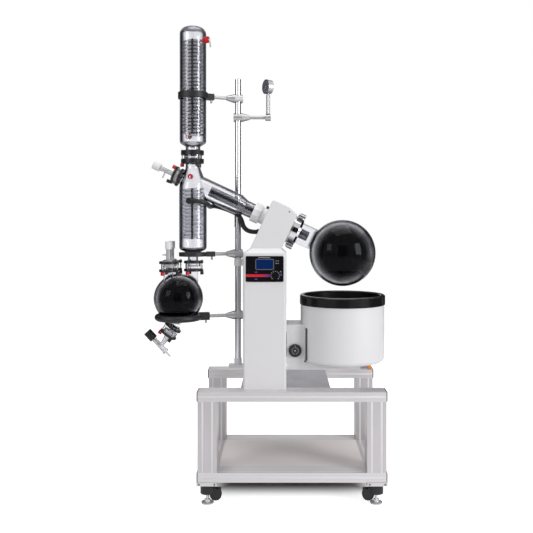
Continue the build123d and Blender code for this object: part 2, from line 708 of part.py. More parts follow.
with BuildPart() as lower_condenser:
    low_flange = LOWER_JOINT + SMALL_HALF
    turned(COND, [
        (0, LOWER_JOINT),
        (SMALL_FLANGE_R, LOWER_JOINT),
        (SMALL_FLANGE_R, low_flange),
        (RECV_NECK_R, low_flange),
        (RECV_NECK_R, LOW_BOTTOM - NECK_CONE),
        (LOW_R, LOW_BOTTOM),
        (LOW_R, LOW_TOP),
        (TUBE_R, LOW_TOP + LOW_SHOULDER),
        (TUBE_R, UPPER_JOINT - BIG_HALF),
        (BIG_FLANGE_R, UPPER_JOINT - BIG_HALF),
        (BIG_FLANGE_R, UPPER_JOINT),
        (0, UPPER_JOINT),
    ], bends={5: FOOT_BEND, 6: SHOULDER_BEND, 7: THROAT_BEND})
    turned(FLASK, [
        (FEED_AT, 0),
        (FEED_AT, FEED_TUBE_R + FLANGE_OVER),
        (FEED_AT + FEED_GAP / 2, FEED_TUBE_R + FLANGE_OVER),
        (FEED_AT + FEED_GAP / 2, FEED_TUBE_R),
        (TEE_AT, FEED_TUBE_R),
        (TEE_AT, DUCT_R),
        (DUCT_WIDE, DUCT_R),
        (DUCT_CONE, DUCT_NECK_R),
        (DUCT_END, DUCT_NECK_R),
        (DUCT_END, 0),
    ], upward=False)
    for z, azimuth, wall_r in LOW_PORTS + [VACUUM_PORT]:
        disc(radial(z, azimuth, wall_r - GLASS), PORT_R, GLASS + PORT_LEN)
    turned(COND, [
        (0, LOWER_JOINT - PASS),
        (RECV_NECK_R - GLASS, LOWER_JOINT - PASS),
        (RECV_NECK_R - GLASS, LOW_BOTTOM - NECK_CONE + MITRE),
        (LOW_R - GLASS, LOW_BOTTOM + GLASS),
        (LOW_R - GLASS, LOW_TOP - MITRE),
        (TUBE_R - GLASS, LOW_TOP + LOW_SHOULDER - MITRE),
        (TUBE_R - GLASS, UPPER_JOINT + PASS),
        (0, UPPER_JOINT + PASS),
    ], bends={3: FOOT_BEND - GLASS, 4: SHOULDER_BEND - GLASS, 5: THROAT_BEND + GLASS}, mode=Mode.SUBTRACT)
    turned(FLASK, [
        (FEED_AT - PASS, 0),
        (FEED_AT - PASS, FEED_TUBE_R - GLASS),
        (TEE_AT, FEED_TUBE_R - GLASS),
        (TEE_AT, DUCT_R - GLASS),
        (DUCT_WIDE + MITRE, DUCT_R - GLASS),
        (DUCT_CONE + MITRE, DUCT_NECK_R - GLASS),
        (DUCT_END + PASS, DUCT_NECK_R - GLASS),
        (DUCT_END + PASS, 0),
    ], upward=False, mode=Mode.SUBTRACT)
    for z, azimuth, wall_r in LOW_PORTS + [VACUUM_PORT]:
        port_bore(z, azimuth, wall_r)
save(lower_condenser.part, "lower_condenser")


def wound_coil(plane, low, turns, radius):
    """Tight coil as a closed sleeve with one ridge for each turn."""
    valley = radius - COIL_RIDGE
    steps = [(valley, low)]
    for i in range(turns):
        base = low + i * COIL_PITCH
        steps += [(radius, base + COIL_PITCH / 2), (valley, base + COIL_PITCH)]
    turned(plane, steps + [(COIL_BORE, low + turns * COIL_PITCH), (COIL_BORE, low)])


def coil_tails(ports, coil_top):
    """Straight ends of the coil that reach the ports in the wall, with a riser to a port above the coil."""
    for z, azimuth, wall_r in ports:
        disc(radial(z, azimuth, TAIL_R), COIL_TUBE / 2, wall_r - GLASS - SEAT - TAIL_R)
        if z > coil_top:
            foot = radial(coil_top - COIL_TUBE, azimuth, TAIL_R).origin
            disc(Plane(origin=foot), COIL_TUBE / 2, z + COIL_TUBE / 2 - foot.Z)


with BuildPart() as lower_coil:
    wound_coil(COND, LOW_COIL_LOW, LOW_TURNS, LOW_COIL_R)
    coil_tails(LOW_PORTS, LOW_COIL_LOW + LOW_TURNS * COIL_PITCH)
save(lower_coil.part, "lower_coil")

UP_NECK_TOP = UP_BOTTOM - NECK_CONE
with BuildPart() as upper_condenser:
    turned(COND, [
        (TUBE_R - GLASS, UPPER_JOINT),
        (BIG_FLANGE_R, UPPER_JOINT),
        (BIG_FLANGE_R, UPPER_JOINT + BIG_HALF),
        (TUBE_R, UPPER_JOINT + BIG_HALF),
        (TUBE_R, UP_NECK_TOP),
        (UP_R, UP_BOTTOM),
        (UP_R, UP_TOP - DOME_CROWN),
        (0, UP_TOP),
        (0, UP_TOP - GLASS),
        (UP_R - GLASS, UP_TOP - DOME_CROWN - GLASS),
        (UP_R - GLASS, UP_BOTTOM + GLASS),
        (TUBE_R - GLASS, UP_NECK_TOP + MITRE),
    ], bends={5: FOOT_BEND, 6: DOME_BEND, 9: DOME_BEND - GLASS, 10: FOOT_BEND - GLASS})
    for z, azimuth, wall_r in UP_PORTS:
        disc(radial(z, azimuth, wall_r - GLASS / 2), PORT_R, GLASS / 2 + PORT_LEN)
        port_bore(z, azimuth, wall_r)
save(upper_condenser.part, "upper_condenser")

with BuildPart() as upper_coil:
    wound_coil(COND, UP_COIL_LOW, UP_TURNS, UP_COIL_R)
    coil_tails(UP_PORTS, UP_COIL_LOW + UP_TURNS * COIL_PITCH)
save(upper_coil.part, "upper_coil")

# Receiving flask with a centre-right neck, two vent necks and a slanted drain neck

MAIN_NECK_AT = COND_X - RECV_X
VENT_SPOTS = [
    (SIDE_NECK_AT * cos(radians(SIDE_NECK_TURN)), sy * SIDE_NECK_AT * sin(radians(SIDE_NECK_TURN)))
    for sy in (-1, 1)
]
NECKS = [(MAIN_NECK_AT, 0.0, RECV_NECK_R, SMALL_FLANGE_R)]
NECKS += [(x, y, SIDE_NECK_R, SIDE_FLANGE_R) for x, y in VENT_SPOTS]
DRAIN = Plane(
    origin=(RECV_X - DRAIN_SHIFT, COL_Y, RECV_Z - RECV_R + GLASS),
    x_dir=(0, 1, 0),
    z_dir=(-sin(radians(DRAIN_TILT)), 0, -cos(radians(DRAIN_TILT))),
)

with BuildPart() as receiving_flask:
    with BuildSketch(RECV):
        with BuildLine():
            CenterArc((0, RECV_Z), RECV_R, -90, 180)
            Line((0, RECV_Z + RECV_R), (0, RECV_Z - RECV_R))
        make_face()
    revolve(axis=Axis(RECV.origin, (0, 0, 1)))
    for x, y, radius, flange in NECKS:
        disc(Plane(origin=(RECV_X + x, COL_Y + y, RECV_Z)), radius, LOWER_JOINT - RECV_Z)
        disc(Plane(origin=(RECV_X + x, COL_Y + y, LOWER_JOINT - SMALL_HALF)), flange, SMALL_HALF)
    disc(DRAIN.offset(-DRAIN_INSIDE), DRAIN_NECK_R, DRAIN_INSIDE + DRAIN_JOINT)
    disc(DRAIN.offset(DRAIN_JOINT - SMALL_HALF), SIDE_FLANGE_R, SMALL_HALF)
    with BuildSketch(RECV):
        with BuildLine():
            CenterArc((0, RECV_Z), RECV_R - GLASS, -90, 180)
            Line((0, RECV_Z + RECV_R - GLASS), (0, RECV_Z - RECV_R + GLASS))
        make_face()
    revolve(axis=Axis(RECV.origin, (0, 0, 1)), mode=Mode.SUBTRACT)
    for x, y, radius, _ in NECKS:
        bore = Plane(origin=(RECV_X + x, COL_Y + y, RECV_Z))
        disc(bore, radius - GLASS, LOWER_JOINT - RECV_Z + PASS, mode=Mode.SUBTRACT)
    drain_bore = DRAIN_INSIDE + DRAIN_JOINT + PASS
    disc(DRAIN.offset(-DRAIN_INSIDE), DRAIN_NECK_R - GLASS, drain_bore, mode=Mode.SUBTRACT)
save(receiving_flask.part, "receiving_flask")

# Flange joints: two clamp rings with three studs each, one red knob and two black ones

UP_BIG = Plane(origin=(COND_X, COL_Y, UPPER_JOINT))
VENT_PLANES = [Plane(origin=(RECV_X + x, COL_Y + y, LOWER_JOINT)) for x, y in VENT_SPOTS]
FEED_PLANE = Plane(origin=tilt_point(FEED_AT, 0), x_dir=FLASK.y_dir, z_dir=-FLASK.x_dir)
DRAIN_FLANGE = DRAIN.offset(DRAIN_JOINT)
DRAIN_UP = Plane(origin=DRAIN_FLANGE.origin, x_dir=DRAIN.y_dir, z_dir=-DRAIN.z_dir)
DRAIN_GAP = 26.0
DRAIN_RING_R = 42.5
JOINTS = [
    (UP_BIG, BIG_GAP, BIG_RING_H, BIG_RING_R, TUBE_R, 180.0),
    (Plane(origin=(COND_X, COL_Y, LOWER_JOINT)), SMALL_GAP, SMALL_RING_H, SMALL_RING_R, RECV_NECK_R, -120.0),
    (flipped(FEED_PLANE), FEED_GAP, FEED_RING_H, SMALL_RING_R, FEED_TUBE_R, 40.0),
    (DRAIN_UP, DRAIN_GAP, FEED_RING_H, DRAIN_RING_R, DRAIN_NECK_R, 180.0),
]
JOINTS += [(plane, SMALL_GAP, SMALL_RING_H, SMALL_RING_R, SIDE_NECK_R, -120.0) for plane in VENT_PLANES]
STUD_IN = 6.0
STUD_TURN = 120.0
BLACK_KNOB_R = 7.5


def stud_plane(plane, height, ring_r, turn):
    """Plane on a flange joint's axis direction at one of its studs."""
    spot = ((ring_r - STUD_IN) * cos(radians(turn)), (ring_r - STUD_IN) * sin(radians(turn)), height)
    return Plane(origin=plane.from_local_coords(spot), x_dir=plane.x_dir, z_dir=plane.z_dir)


with BuildPart() as flange_clamps:
    for plane, gap, ring_h, ring_r, tube_r, turn in JOINTS:
        disc(plane.offset(gap / 2), ring_r, ring_h, bore=tube_r + FREE_GAP)
        disc(plane.offset(-gap / 2 - ring_h), ring_r, ring_h, bore=tube_r + FREE_GAP)
        for k in range(3):
            disc(stud_plane(plane, -gap / 2, ring_r, turn + STUD_TURN * k), STUD_R, gap)
        for k in (1, 2):
            knob_face = stud_plane(plane, -gap / 2 - ring_h - KNOB_H, ring_r, turn + STUD_TURN * k)
            disc(knob_face, BLACK_KNOB_R, KNOB_H)
save(flange_clamps.part, "flange_clamps")

CAP_R = 14.0
SMALL_CAP_R = 11.0
CAP_LEN = 22.0
BARB_R = 3.0
with BuildPart() as red_caps:
    for plane, gap, ring_h, ring_r, _, turn in JOINTS:
        disc(stud_plane(plane, -gap / 2 - ring_h - KNOB_H, ring_r, turn), KNOB_R, KNOB_H)
    for ports, cap_r in ((LOW_PORTS, SMALL_CAP_R), (UP_PORTS, CAP_R)):
        for z, azimuth, wall_r in ports:
            disc(radial(z, azimuth, wall_r + PORT_LEN), cap_r, CAP_LEN)
save(red_caps.part, "red_caps")

# Valves: two vents and the feed valve share a make, the drain valve hangs under the receiver

STEM_OUT_R = 9.5
SPINDLE_R = 4.0
VENT_STEM_TOP = 1057.0
VENT_KNOB_LEN = 33.0
VENT_KNOB_R = 13.5
VENT_SLEEVE = 6.0
VENT_BARB_UP = 50.0
VENT_BARB_LEN = 25.0
FEED_SLEEVE = 4.0
DRAIN_SLEEVE = 3.0
SPINDLE_LONG = 40.0
SPINDLE_END = 4.0
FLUTE_R = 1.8
VENT_FLUTES = 8
FEED_FLUTES = 10
DRAIN_FLUTES = 14
FEED_STEM_R = 10.0
FEED_STEM_END = 82.0
FEED_KNOB_R = 17.0
FEED_KNOB_LEN = 33.0
FEED_BARB_AT = 55.0
BARB_OUT = 26.0

VENT_STEM_H = VENT_STEM_TOP - LOWER_JOINT


def spindle_bore(plane):
    """Bore for a valve's spindle, from the open end of its stem inwards."""
    disc(plane.offset(-SPINDLE_LONG), SPINDLE_R + RUN_GAP, SPINDLE_LONG + PASS, mode=Mode.SUBTRACT)


with BuildPart() as vent_and_feed_valves:
    for plane in VENT_PLANES:
        disc(plane, SIDE_FLANGE_R, SMALL_HALF)
        disc(plane, SIDE_NECK_R, SMALL_HALF + SMALL_RING_H + VENT_SLEEVE)
        disc(plane, STEM_OUT_R, VENT_STEM_H)
        barb_spot = plane.from_local_coords((0, 0, VENT_BARB_UP))
        disc(Plane(origin=barb_spot, x_dir=(0, 0, 1), z_dir=(-1, 0, 0)), BARB_R, VENT_BARB_LEN)
        spindle_bore(plane.offset(VENT_STEM_H))
    disc(FEED_PLANE, FEED_TUBE_R + FLANGE_OVER, FEED_GAP / 2)
    disc(FEED_PLANE, FEED_TUBE_R, FEED_GAP / 2 + FEED_RING_H + FEED_SLEEVE)
    disc(FEED_PLANE, FEED_STEM_R, FEED_STEM_END)
    barb_spot = FEED_PLANE.from_local_coords((0, 0, FEED_BARB_AT))
    disc(Plane(origin=barb_spot, x_dir=FLASK.x_dir, z_dir=-FLASK.y_dir), BARB_R, FEED_STEM_R + BARB_OUT)
    spindle_bore(FEED_PLANE.offset(FEED_STEM_END))
save(vent_and_feed_valves.part, "vent_and_feed_valves")


def valve_knob(plane, radius, length, flutes):
    """Fluted knob on a plane, with its spindle reaching back into the stem."""
    with BuildSketch(plane) as grip:
        Circle(radius)
        with PolarLocations(radius, flutes):
            Circle(FLUTE_R, mode=Mode.SUBTRACT)
    extrude(grip.sketch, amount=length)
    disc(plane.offset(SPINDLE_END - SPINDLE_LONG), SPINDLE_R, SPINDLE_LONG - SPINDLE_END)


VENT_NAMES = ("vent_knob_front", "vent_knob_rear")
for plane, name in zip(VENT_PLANES, VENT_NAMES):
    with BuildPart() as vent_knob:
        valve_knob(plane.offset(VENT_STEM_H + FREE_GAP), VENT_KNOB_R, VENT_KNOB_LEN, VENT_FLUTES)
    save(vent_knob.part, name)

with BuildPart() as feed_knob:
    valve_knob(FEED_PLANE.offset(FEED_STEM_END + FREE_GAP), FEED_KNOB_R, FEED_KNOB_LEN, FEED_FLUTES)
save(feed_knob.part, "feed_knob")

DRAIN_REACH = 79.0
DRAIN_STEM_TILT = 47.0
DRAIN_BODY_R = 10.5
DRAIN_IN_R = 13.0
DRAIN_OUT_R = 7.4
DRAIN_BAND = 10.0
DRAIN_BAND_R = 13.0
DRAIN_BAND_BACK = 2.0
DRAIN_SLEEVE_END = DRAIN_GAP / 2 + FEED_RING_H + DRAIN_SLEEVE
DRAIN_KNOB_R = 18.0
DRAIN_KNOB_LEN = 43.0
DRAIN_LEFT = -43.0
DRAIN_RIGHT = 36.0
DRAIN_TIP = 61.0
TIP_R = 4.0
DRAIN_TEE = DRAIN.offset(DRAIN_JOINT + DRAIN_REACH).origin
DRAIN_AXIS = tilted(DRAIN_TEE.X, DRAIN_TEE.Y, DRAIN_TEE.Z, DRAIN_STEM_TILT)
with BuildPart() as drain_valve:
    disc(DRAIN_FLANGE, SIDE_FLANGE_R, DRAIN_GAP / 2)
    disc(DRAIN_FLANGE, DRAIN_NECK_R, DRAIN_SLEEVE_END)
    with BuildSketch(DRAIN_FLANGE.offset(DRAIN_SLEEVE_END)) as wide:
        Circle(DRAIN_IN_R)
    with BuildSketch(DRAIN_FLANGE.offset(DRAIN_REACH)) as narrow:
        Circle(DRAIN_OUT_R)
    loft([wide.sketch.face(), narrow.sketch.face()])
    disc(across(DRAIN_AXIS, DRAIN_LEFT), DRAIN_BODY_R, DRAIN_RIGHT - DRAIN_LEFT)
    disc(across(DRAIN_AXIS, DRAIN_RIGHT - DRAIN_BAND - DRAIN_BAND_BACK), DRAIN_BAND_R, DRAIN_BAND)
    disc(across(DRAIN_AXIS, DRAIN_RIGHT), TIP_R, DRAIN_TIP - DRAIN_RIGHT)
    spindle_bore(flipped(across(DRAIN_AXIS, DRAIN_LEFT)))
save(drain_valve.part, "drain_valve")

with BuildPart() as drain_knob:
    valve_knob(flipped(across(DRAIN_AXIS, DRAIN_LEFT - FREE_GAP)), DRAIN_KNOB_R, DRAIN_KNOB_LEN, DRAIN_FLUTES)
save(drain_knob.part, "drain_knob")

# Stand rod with its holders, bosses, arms and rings

HOLDER_R = 16.5
SOCKET_H = 26.0
HOLDER_LOW = 981.0
HOLDER_H = 31.0
COUPLING_LOW = 1151.0
COUPLING_H = 68.0
COUPLING_R = 15.5
COL_LEFT = COL_X - COL_W / 2
BRACKET_H = 12.0
BRACKET_LEFT = 40.0
BRACKET_SHIFT = 8.0
BRACKET_D = 49.0
BRACKET_ROUND = 6.0
ROD_CHAMFER = 1.5

with BuildPart() as stand_rod:
    disc(Plane(origin=(ROD_X, ROD_Y, ROD_LOW)), ROD_R, ROD_TOP - ROD_LOW)
    disc(Plane(origin=(ROD_X, ROD_Y, COUPLING_LOW)), COUPLING_R, COUPLING_H)
    chamfer(stand_rod.edges().filter_by(GeomType.CIRCLE).sort_by(Axis.Z)[-1:], ROD_CHAMFER)
save(stand_rod.part, "stand_rod")

with BuildPart() as rod_brackets:
    with BuildSketch(Plane.XY.offset(ROD_LOW - BRACKET_H)):
        with Locations(((ROD_X - BRACKET_LEFT + COL_LEFT) / 2, ROD_Y - BRACKET_SHIFT)):
            RectangleRounded(COL_LEFT - ROD_X + BRACKET_LEFT, BRACKET_D, BRACKET_ROUND)
    extrude(amount=BRACKET_H)
    disc(Plane(origin=(ROD_X, ROD_Y, ROD_LOW)), HOLDER_R, SOCKET_H, bore=ROD_R + RUN_GAP)
    with BuildSketch(Plane.XY.offset(HOLDER_LOW)):
        with Locations(((ROD_X + COL_LEFT) / 2, ROD_Y)):
            Rectangle(COL_LEFT - ROD_X, HOLDER_R)
        with Locations((ROD_X, ROD_Y)):
            Circle(HOLDER_R)
            Circle(ROD_R + RUN_GAP, mode=Mode.SUBTRACT)
    extrude(amount=HOLDER_H)
save(rod_brackets.part, "rod_brackets")

UPPER_BLOCK = (92.0, 32.0, 26.0)
LOWER_BLOCK = (96.0, 36.0, 22.0)
RING_BLOCK = (134.0, 44.0, 32.0)
ARMS = [
    (COND_X, COL_Y, UPPER_ARM_Z, *UPPER_BLOCK),
    (COND_X, COL_Y, LOWER_ARM_Z, *LOWER_BLOCK),
    (RECV_X, COL_Y, RING_ARM_Z, *RING_BLOCK),
]
BLOCK_IN = 12.0
SCREW_R = 4.0
SCREW_LEN = 14.0


def arm_plane(x, y, z):
    """Upright plane through an arm, measured from the held piece towards the stand rod."""
    reach = sqrt((ROD_X - x) ** 2 + (ROD_Y - y) ** 2)
    toward = ((ROD_X - x) / reach, (ROD_Y - y) / reach, 0)
    side = Vector(toward).cross(Vector(0, 0, 1))
    return Plane(origin=(x, y, z), x_dir=toward, z_dir=side), reach


def boss_end(reach):
    """Outline of an arm's far end: the tapered boss that grips the stand rod."""
    return [
        (reach - BOSS_LEN, ARM_R),
        (reach - BOSS_LEN, BOSS_TIP_R),
        (reach - BOSS_TAIL, BOSS_R),
        (reach + BOSS_TAIL, BOSS_R),
        (reach + BOSS_TAIL, 0),
    ]


with BuildPart() as rod_clamps:
    for x, y, z, block_end, block_len, block_h in ARMS:
        plane, reach = arm_plane(x, y, z)
        arm_start = [(block_end - BLOCK_IN, 0), (block_end - BLOCK_IN, ARM_R)]
        turned(plane, arm_start + boss_end(reach), upward=False)
        under = plane.from_local_coords((block_end - block_len / 3, -block_h / 2 - SCREW_LEN, 0))
        disc(Plane(origin=under), SCREW_R, SCREW_LEN)
    gauge_plane = Plane(origin=(GAUGE_X, ROD_Y, GAUGE_ARM_Z), x_dir=(-1, 0, 0), z_dir=(0, 1, 0))
    gauge_start = [(-GAUGE_HUB, 0), (-GAUGE_HUB, 2 * ARM_R), (GAUGE_HUB, 2 * ARM_R), (GAUGE_HUB, ARM_R)]
    turned(gauge_plane, gauge_start + boss_end(GAUGE_X - ROD_X), upward=False)
    disc(Plane(origin=(ROD_X, ROD_Y, ROD_LOW)), ROD_R + RUN_GAP, ROD_TOP - ROD_LOW, mode=Mode.SUBTRACT)
save(rod_clamps.part, "rod_clamps")


def clamp_block(x, y, z, block_end, block_len, block_h):
    """Block beside a ring that takes the end of its arm."""
    plane, _ = arm_plane(x, y, z)
    with BuildSketch(plane) as side:
        with Locations((block_end - block_len / 2, 0)):
            Rectangle(block_len, block_h)
    extrude(side.sketch, amount=block_h / 2, both=True)
    disc(across(plane, block_end - BLOCK_IN), ARM_R + RUN_GAP, BLOCK_IN + PASS, mode=Mode.SUBTRACT)


LOW_COLLAR_R = 60.5
LOW_COLLAR_H = 17.0
LOW_COLLAR_IN = 29.6
RING_DROP = RECV_Z - RING_ARM_Z
RING_R = sqrt((RECV_R + RING_TUBE_R + SEAT) ** 2 - RING_DROP**2)
with BuildPart() as ring_clamps:
    disc(Plane(origin=(COND_X, COL_Y, UPPER_ARM_Z - COLLAR_H / 2)), COLLAR_R, COLLAR_H)
    clamp_block(*ARMS[0])
    disc(Plane(origin=(COND_X, COL_Y, LOWER_ARM_Z - LOW_COLLAR_H / 2)), LOW_COLLAR_R, LOW_COLLAR_H)
    clamp_block(*ARMS[1])
    for z, bore in ((UPPER_ARM_Z, UP_R + SEAT), (LOWER_ARM_Z, LOW_COLLAR_IN)):
        disc(Plane(origin=(COND_X, COL_Y, z - COLLAR_H)), bore, 2 * COLLAR_H, mode=Mode.SUBTRACT)
    with BuildSketch(RECV):
        with Locations((RING_R, RING_ARM_Z)):
            Circle(RING_TUBE_R)
    revolve(axis=Axis(RECV.origin, (0, 0, 1)))
    clamp_block(*ARMS[2])
save(ring_clamps.part, "ring_clamps")

TUBE_LOW = GAUGE_ARM_Z + 2 * ARM_R
GAUGE_NECK_Z = GAUGE_Z - GAUGE_R - GAUGE_NECK
FACING = (-sin(radians(GAUGE_TURN)), -cos(radians(GAUGE_TURN)), 0)
DIAL_BACK = Plane(
    origin=Vector(GAUGE_X, ROD_Y, GAUGE_Z) - Vector(FACING) * GAUGE_DEEP / 2,
    x_dir=(0, 0, 1),
    z_dir=FACING,
)
with BuildPart() as vacuum_gauge:
    disc(DIAL_BACK, GAUGE_CASE_R, GAUGE_DEEP)
    disc(DIAL_BACK.offset(GAUGE_DEEP - GAUGE_BEZEL), GAUGE_R, GAUGE_BEZEL)
    disc(DIAL_BACK.offset(GAUGE_DEEP - GAUGE_DIAL_IN), GAUGE_DIAL_R, GAUGE_DIAL_IN + PASS, mode=Mode.SUBTRACT)
    disc(Plane(origin=(GAUGE_X, ROD_Y, GAUGE_NECK_Z)), GAUGE_NECK_R, 2 * GAUGE_NECK)
    disc(Plane(origin=(GAUGE_X, ROD_Y, TUBE_LOW)), GAUGE_STEM_R, GAUGE_NECK_Z - SEAT - TUBE_LOW)
save(vacuum_gauge.part, "vacuum_gauge")

# Vacuum hose from the drive housing to the front port of the lower condenser

HOSE_R = 10.0
FITTING_R = 13.0
HOSE_START = (FRAME_X - 152.0, COL_Y + 50.0, 1130.0)
PORT_TIP = radial(VACUUM_PORT[0], VACUUM_PORT[1], LOW_R + PORT_LEN)
ELBOW_LEN = 30.0
ELBOW_MID = PORT_TIP.offset(ELBOW_LEN / 2).origin
ELBOW_OUT = 22.0
ELBOW_R = 12.0
START_LEN = 40.0
HOSE_END = (ELBOW_MID.X + ELBOW_OUT, ELBOW_MID.Y, ELBOW_MID.Z)
with BuildPart() as hose_fittings:
    start = Plane(origin=Vector(HOSE_START) + Vector(START_LEN, 0, 0), x_dir=(0, 1, 0), z_dir=(-1, 0, 0))
    disc(start, FITTING_R, START_LEN)
    split(bisect_by=across(FLASK, HEAD_LEFT), keep=Keep.BOTTOM)
    spot = FLASK.from_local_coords((HEAD_LEFT, GLAND_ABOVE, GLAND_BACK))
    disc(Plane(origin=spot, x_dir=FLASK.y_dir, z_dir=-FLASK.x_dir), GLAND_R, GLAND_LEN)
    disc(PORT_TIP, FITTING_R, ELBOW_LEN)
    disc(Plane(origin=ELBOW_MID, x_dir=(0, 1, 0), z_dir=(1, 0, 0)), ELBOW_R, ELBOW_OUT)
save(hose_fittings.part, "hose_fittings")

HOSE_POINTS = [
    HOSE_START,
    (FRAME_X - 184.0, HOSE_START[1], HOSE_START[2]),
    (FRAME_X - 211.0, COL_Y + 46.0, 1150.0),
    (FRAME_X - 218.0, COL_Y + 44.0, 1184.0),
    (FRAME_X - 238.0, COL_Y + 43.5, 1210.0),
    (FRAME_X - 290.0, COL_Y + 54.0, 1232.0),
    (FRAME_X - 340.0, COL_Y + 48.0, 1246.0),
    (FRAME_X - 354.0, COL_Y - 4.0, 1238.0),
    (FRAME_X - 356.0, COL_Y - 56.0, 1250.0),
    (HOSE_END[0] + 24.0, HOSE_END[1], HOSE_END[2]),
    HOSE_END,
]


def bend_radii(points, share=0.45):
    """Radius of each bend, as large as the shorter run beside it allows."""
    radii = []
    for a, b, c in zip(points, points[1:], points[2:]):
        before = Vector(b) - Vector(a)
        after = Vector(c) - Vector(b)
        half_turn = radians(before.get_angle(after)) / 2
        radii.append(share * min(before.length, after.length) / tan(half_turn))
    return radii


HOSE_RADII = bend_radii(HOSE_POINTS)
print("hose bend radii", [round(r, 1) for r in HOSE_RADII])
with BuildPart() as vacuum_hose:
    with BuildLine() as route:
        FilletPolyline(*HOSE_POINTS, radius=HOSE_RADII)
    with BuildSketch(Plane(origin=route.line @ 0, z_dir=route.line % 0)):
        Circle(HOSE_R)
    sweep()
HOSE_LEN = sum(edge.length for edge in route.edges())
HOSE_SHARE = vacuum_hose.part.volume / (pi * HOSE_R**2 * HOSE_LEN)
print("hose length", round(HOSE_LEN, 1), "volume share", round(HOSE_SHARE, 4))
save(vacuum_hose.part, "vacuum_hose")

# Panel on the column

PANEL_FACE = Plane(origin=(COL_X, FRONT_Y, PANEL_Z), x_dir=(1, 0, 0), z_dir=(0, -1, 0))
SCREEN_UP = 19.5
PANEL_KNOB_X = 44.0
PANEL_KNOB_Z = -27.5
PANEL_KNOB_R = 14.0
PANEL_KNOB_LEN = 12.0
PANEL_ROUND = 5.0
SHAFT_R = 3.0
with BuildPart() as control_panel:
    with BuildSketch(PANEL_FACE):
        RectangleRounded(PANEL_W, PANEL_H, PANEL_ROUND)
    extrude(amount=PANEL_THICK)
    with BuildSketch(PANEL_FACE):
        with Locations((0, SCREEN_UP)):
            Rectangle(SCREEN_W, SCREEN_H)
        with Locations((PANEL_KNOB_X, PANEL_KNOB_Z)):
            Circle(SHAFT_R + RUN_GAP)
    extrude(amount=PANEL_THICK, mode=Mode.SUBTRACT)
save(control_panel.part, "control_panel")

with BuildPart() as display:
    with BuildSketch(PANEL_FACE):
        with Locations((0, SCREEN_UP)):
            Rectangle(SCREEN_W - 2 * SEAT, SCREEN_H - 2 * SEAT)
    extrude(amount=PANEL_THICK - SEAT)
save(display.part, "display")


def dial_knob(plane, radius, length, sink):
    """Round knob that stands off a face on a shaft."""
    disc(plane.offset(FREE_GAP), radius, length)
    disc(plane.offset(-sink), SHAFT_R, sink + FREE_GAP)


with BuildPart() as control_knob:
    spot = PANEL_FACE.from_local_coords((PANEL_KNOB_X, PANEL_KNOB_Z, PANEL_THICK))
    knob_face = Plane(origin=spot, x_dir=(1, 0, 0), z_dir=(0, -1, 0))
    dial_knob(knob_face, PANEL_KNOB_R, PANEL_KNOB_LEN, PANEL_THICK - SEAT)
save(control_knob.part, "control_knob")

# Bath on its lift: the carriage runs on the guide rods and carries the tray, shell, pot and box

TRAY_H = BATH_LOW - BOX_LOW
PLATE_X = BOX_LEFT + PLATE_THICK
CARRIAGE_LEFT = GUIDE_X - CARRIAGE_BACK
BOX_MID_Y = (BOX_FRONT + BOX_BACK) / 2
with BuildPart() as lift_carriage:
    with BuildSketch(Plane.XY.offset(CARRIAGE_Z)):
        with Locations(((CARRIAGE_LEFT + BOX_LEFT) / 2, COL_Y)):
            Rectangle(BOX_LEFT - CARRIAGE_LEFT, CARRIAGE_W)
    extrude(amount=CARRIAGE_H)
    with BuildSketch(Plane.XY.offset(CARRIAGE_Z)):
        for sy in (-1, 1):
            with Locations((GUIDE_X, COL_Y + sy * GUIDE_GAP_Y)):
                Circle(GUIDE_R + RUN_GAP)
    extrude(amount=CARRIAGE_H, mode=Mode.SUBTRACT)
    with BuildSketch(Plane.XY.offset(BOX_LOW)):
        with Locations(((BOX_LEFT + PLATE_X) / 2, BOX_MID_Y)):
            Rectangle(PLATE_X - BOX_LEFT, BOX_DEEP)
    extrude(amount=BOX_TOP - BOX_LOW)
    with BuildSketch(Plane.XY.offset(BOX_LOW)):
        with Locations(((BOX_LEFT + TRAY_RIGHT) / 2, BOX_MID_Y)):
            Rectangle(TRAY_RIGHT - BOX_LEFT, BOX_DEEP)
    extrude(amount=TRAY_H)
    fillet(lift_carriage.edges().filter_by(Axis.Z).sort_by(Axis.X)[-2:], TRAY_ROUND)
save(lift_carriage.part, "lift_carriage")

SHELL_TOP = 850.0
BATH_BEND = 18.0
POT_BEND = 30.0
POT_FLANGE = 3.0
HEATER_IN = 45.0
HEATER_R = POT_R - HEATER_IN
RIM_BEVEL = 4.0
with BuildPart() as bath_shell:
    turned(BATH, [
        (0, BATH_LOW),
        (BATH_R, BATH_LOW),
        (BATH_R, SHELL_TOP),
        (BATH_R - BATH_WALL, SHELL_TOP),
        (BATH_R - BATH_WALL, BATH_LOW + BATH_WALL),
        (0, BATH_LOW + BATH_WALL),
    ], bends={1: BATH_BEND, 4: BATH_BEND - BATH_WALL})
save(bath_shell.part, "bath_shell")

POT_IN = POT_R - POT_WALL
HEATER_H = POT_LOW - BATH_LOW - BATH_WALL - 2 * SEAT
with BuildPart() as bath_pot:
    turned(BATH, [
        (0, POT_LOW),
        (POT_R, POT_LOW),
        (POT_R, SHELL_TOP),
        (BATH_R, SHELL_TOP),
        (BATH_R, SHELL_TOP + POT_FLANGE),
        (POT_IN, SHELL_TOP + POT_FLANGE),
        (POT_IN, POT_LOW + POT_WALL),
        (0, POT_LOW + POT_WALL),
    ], bends={1: POT_BEND, 6: POT_BEND - POT_WALL})
save(bath_pot.part, "bath_pot")

with BuildPart() as bath_heater:
    disc(Plane(origin=(BATH_X, BATH_Y, BATH_LOW + BATH_WALL + SEAT)), HEATER_R, HEATER_H)
save(bath_heater.part, "bath_heater")

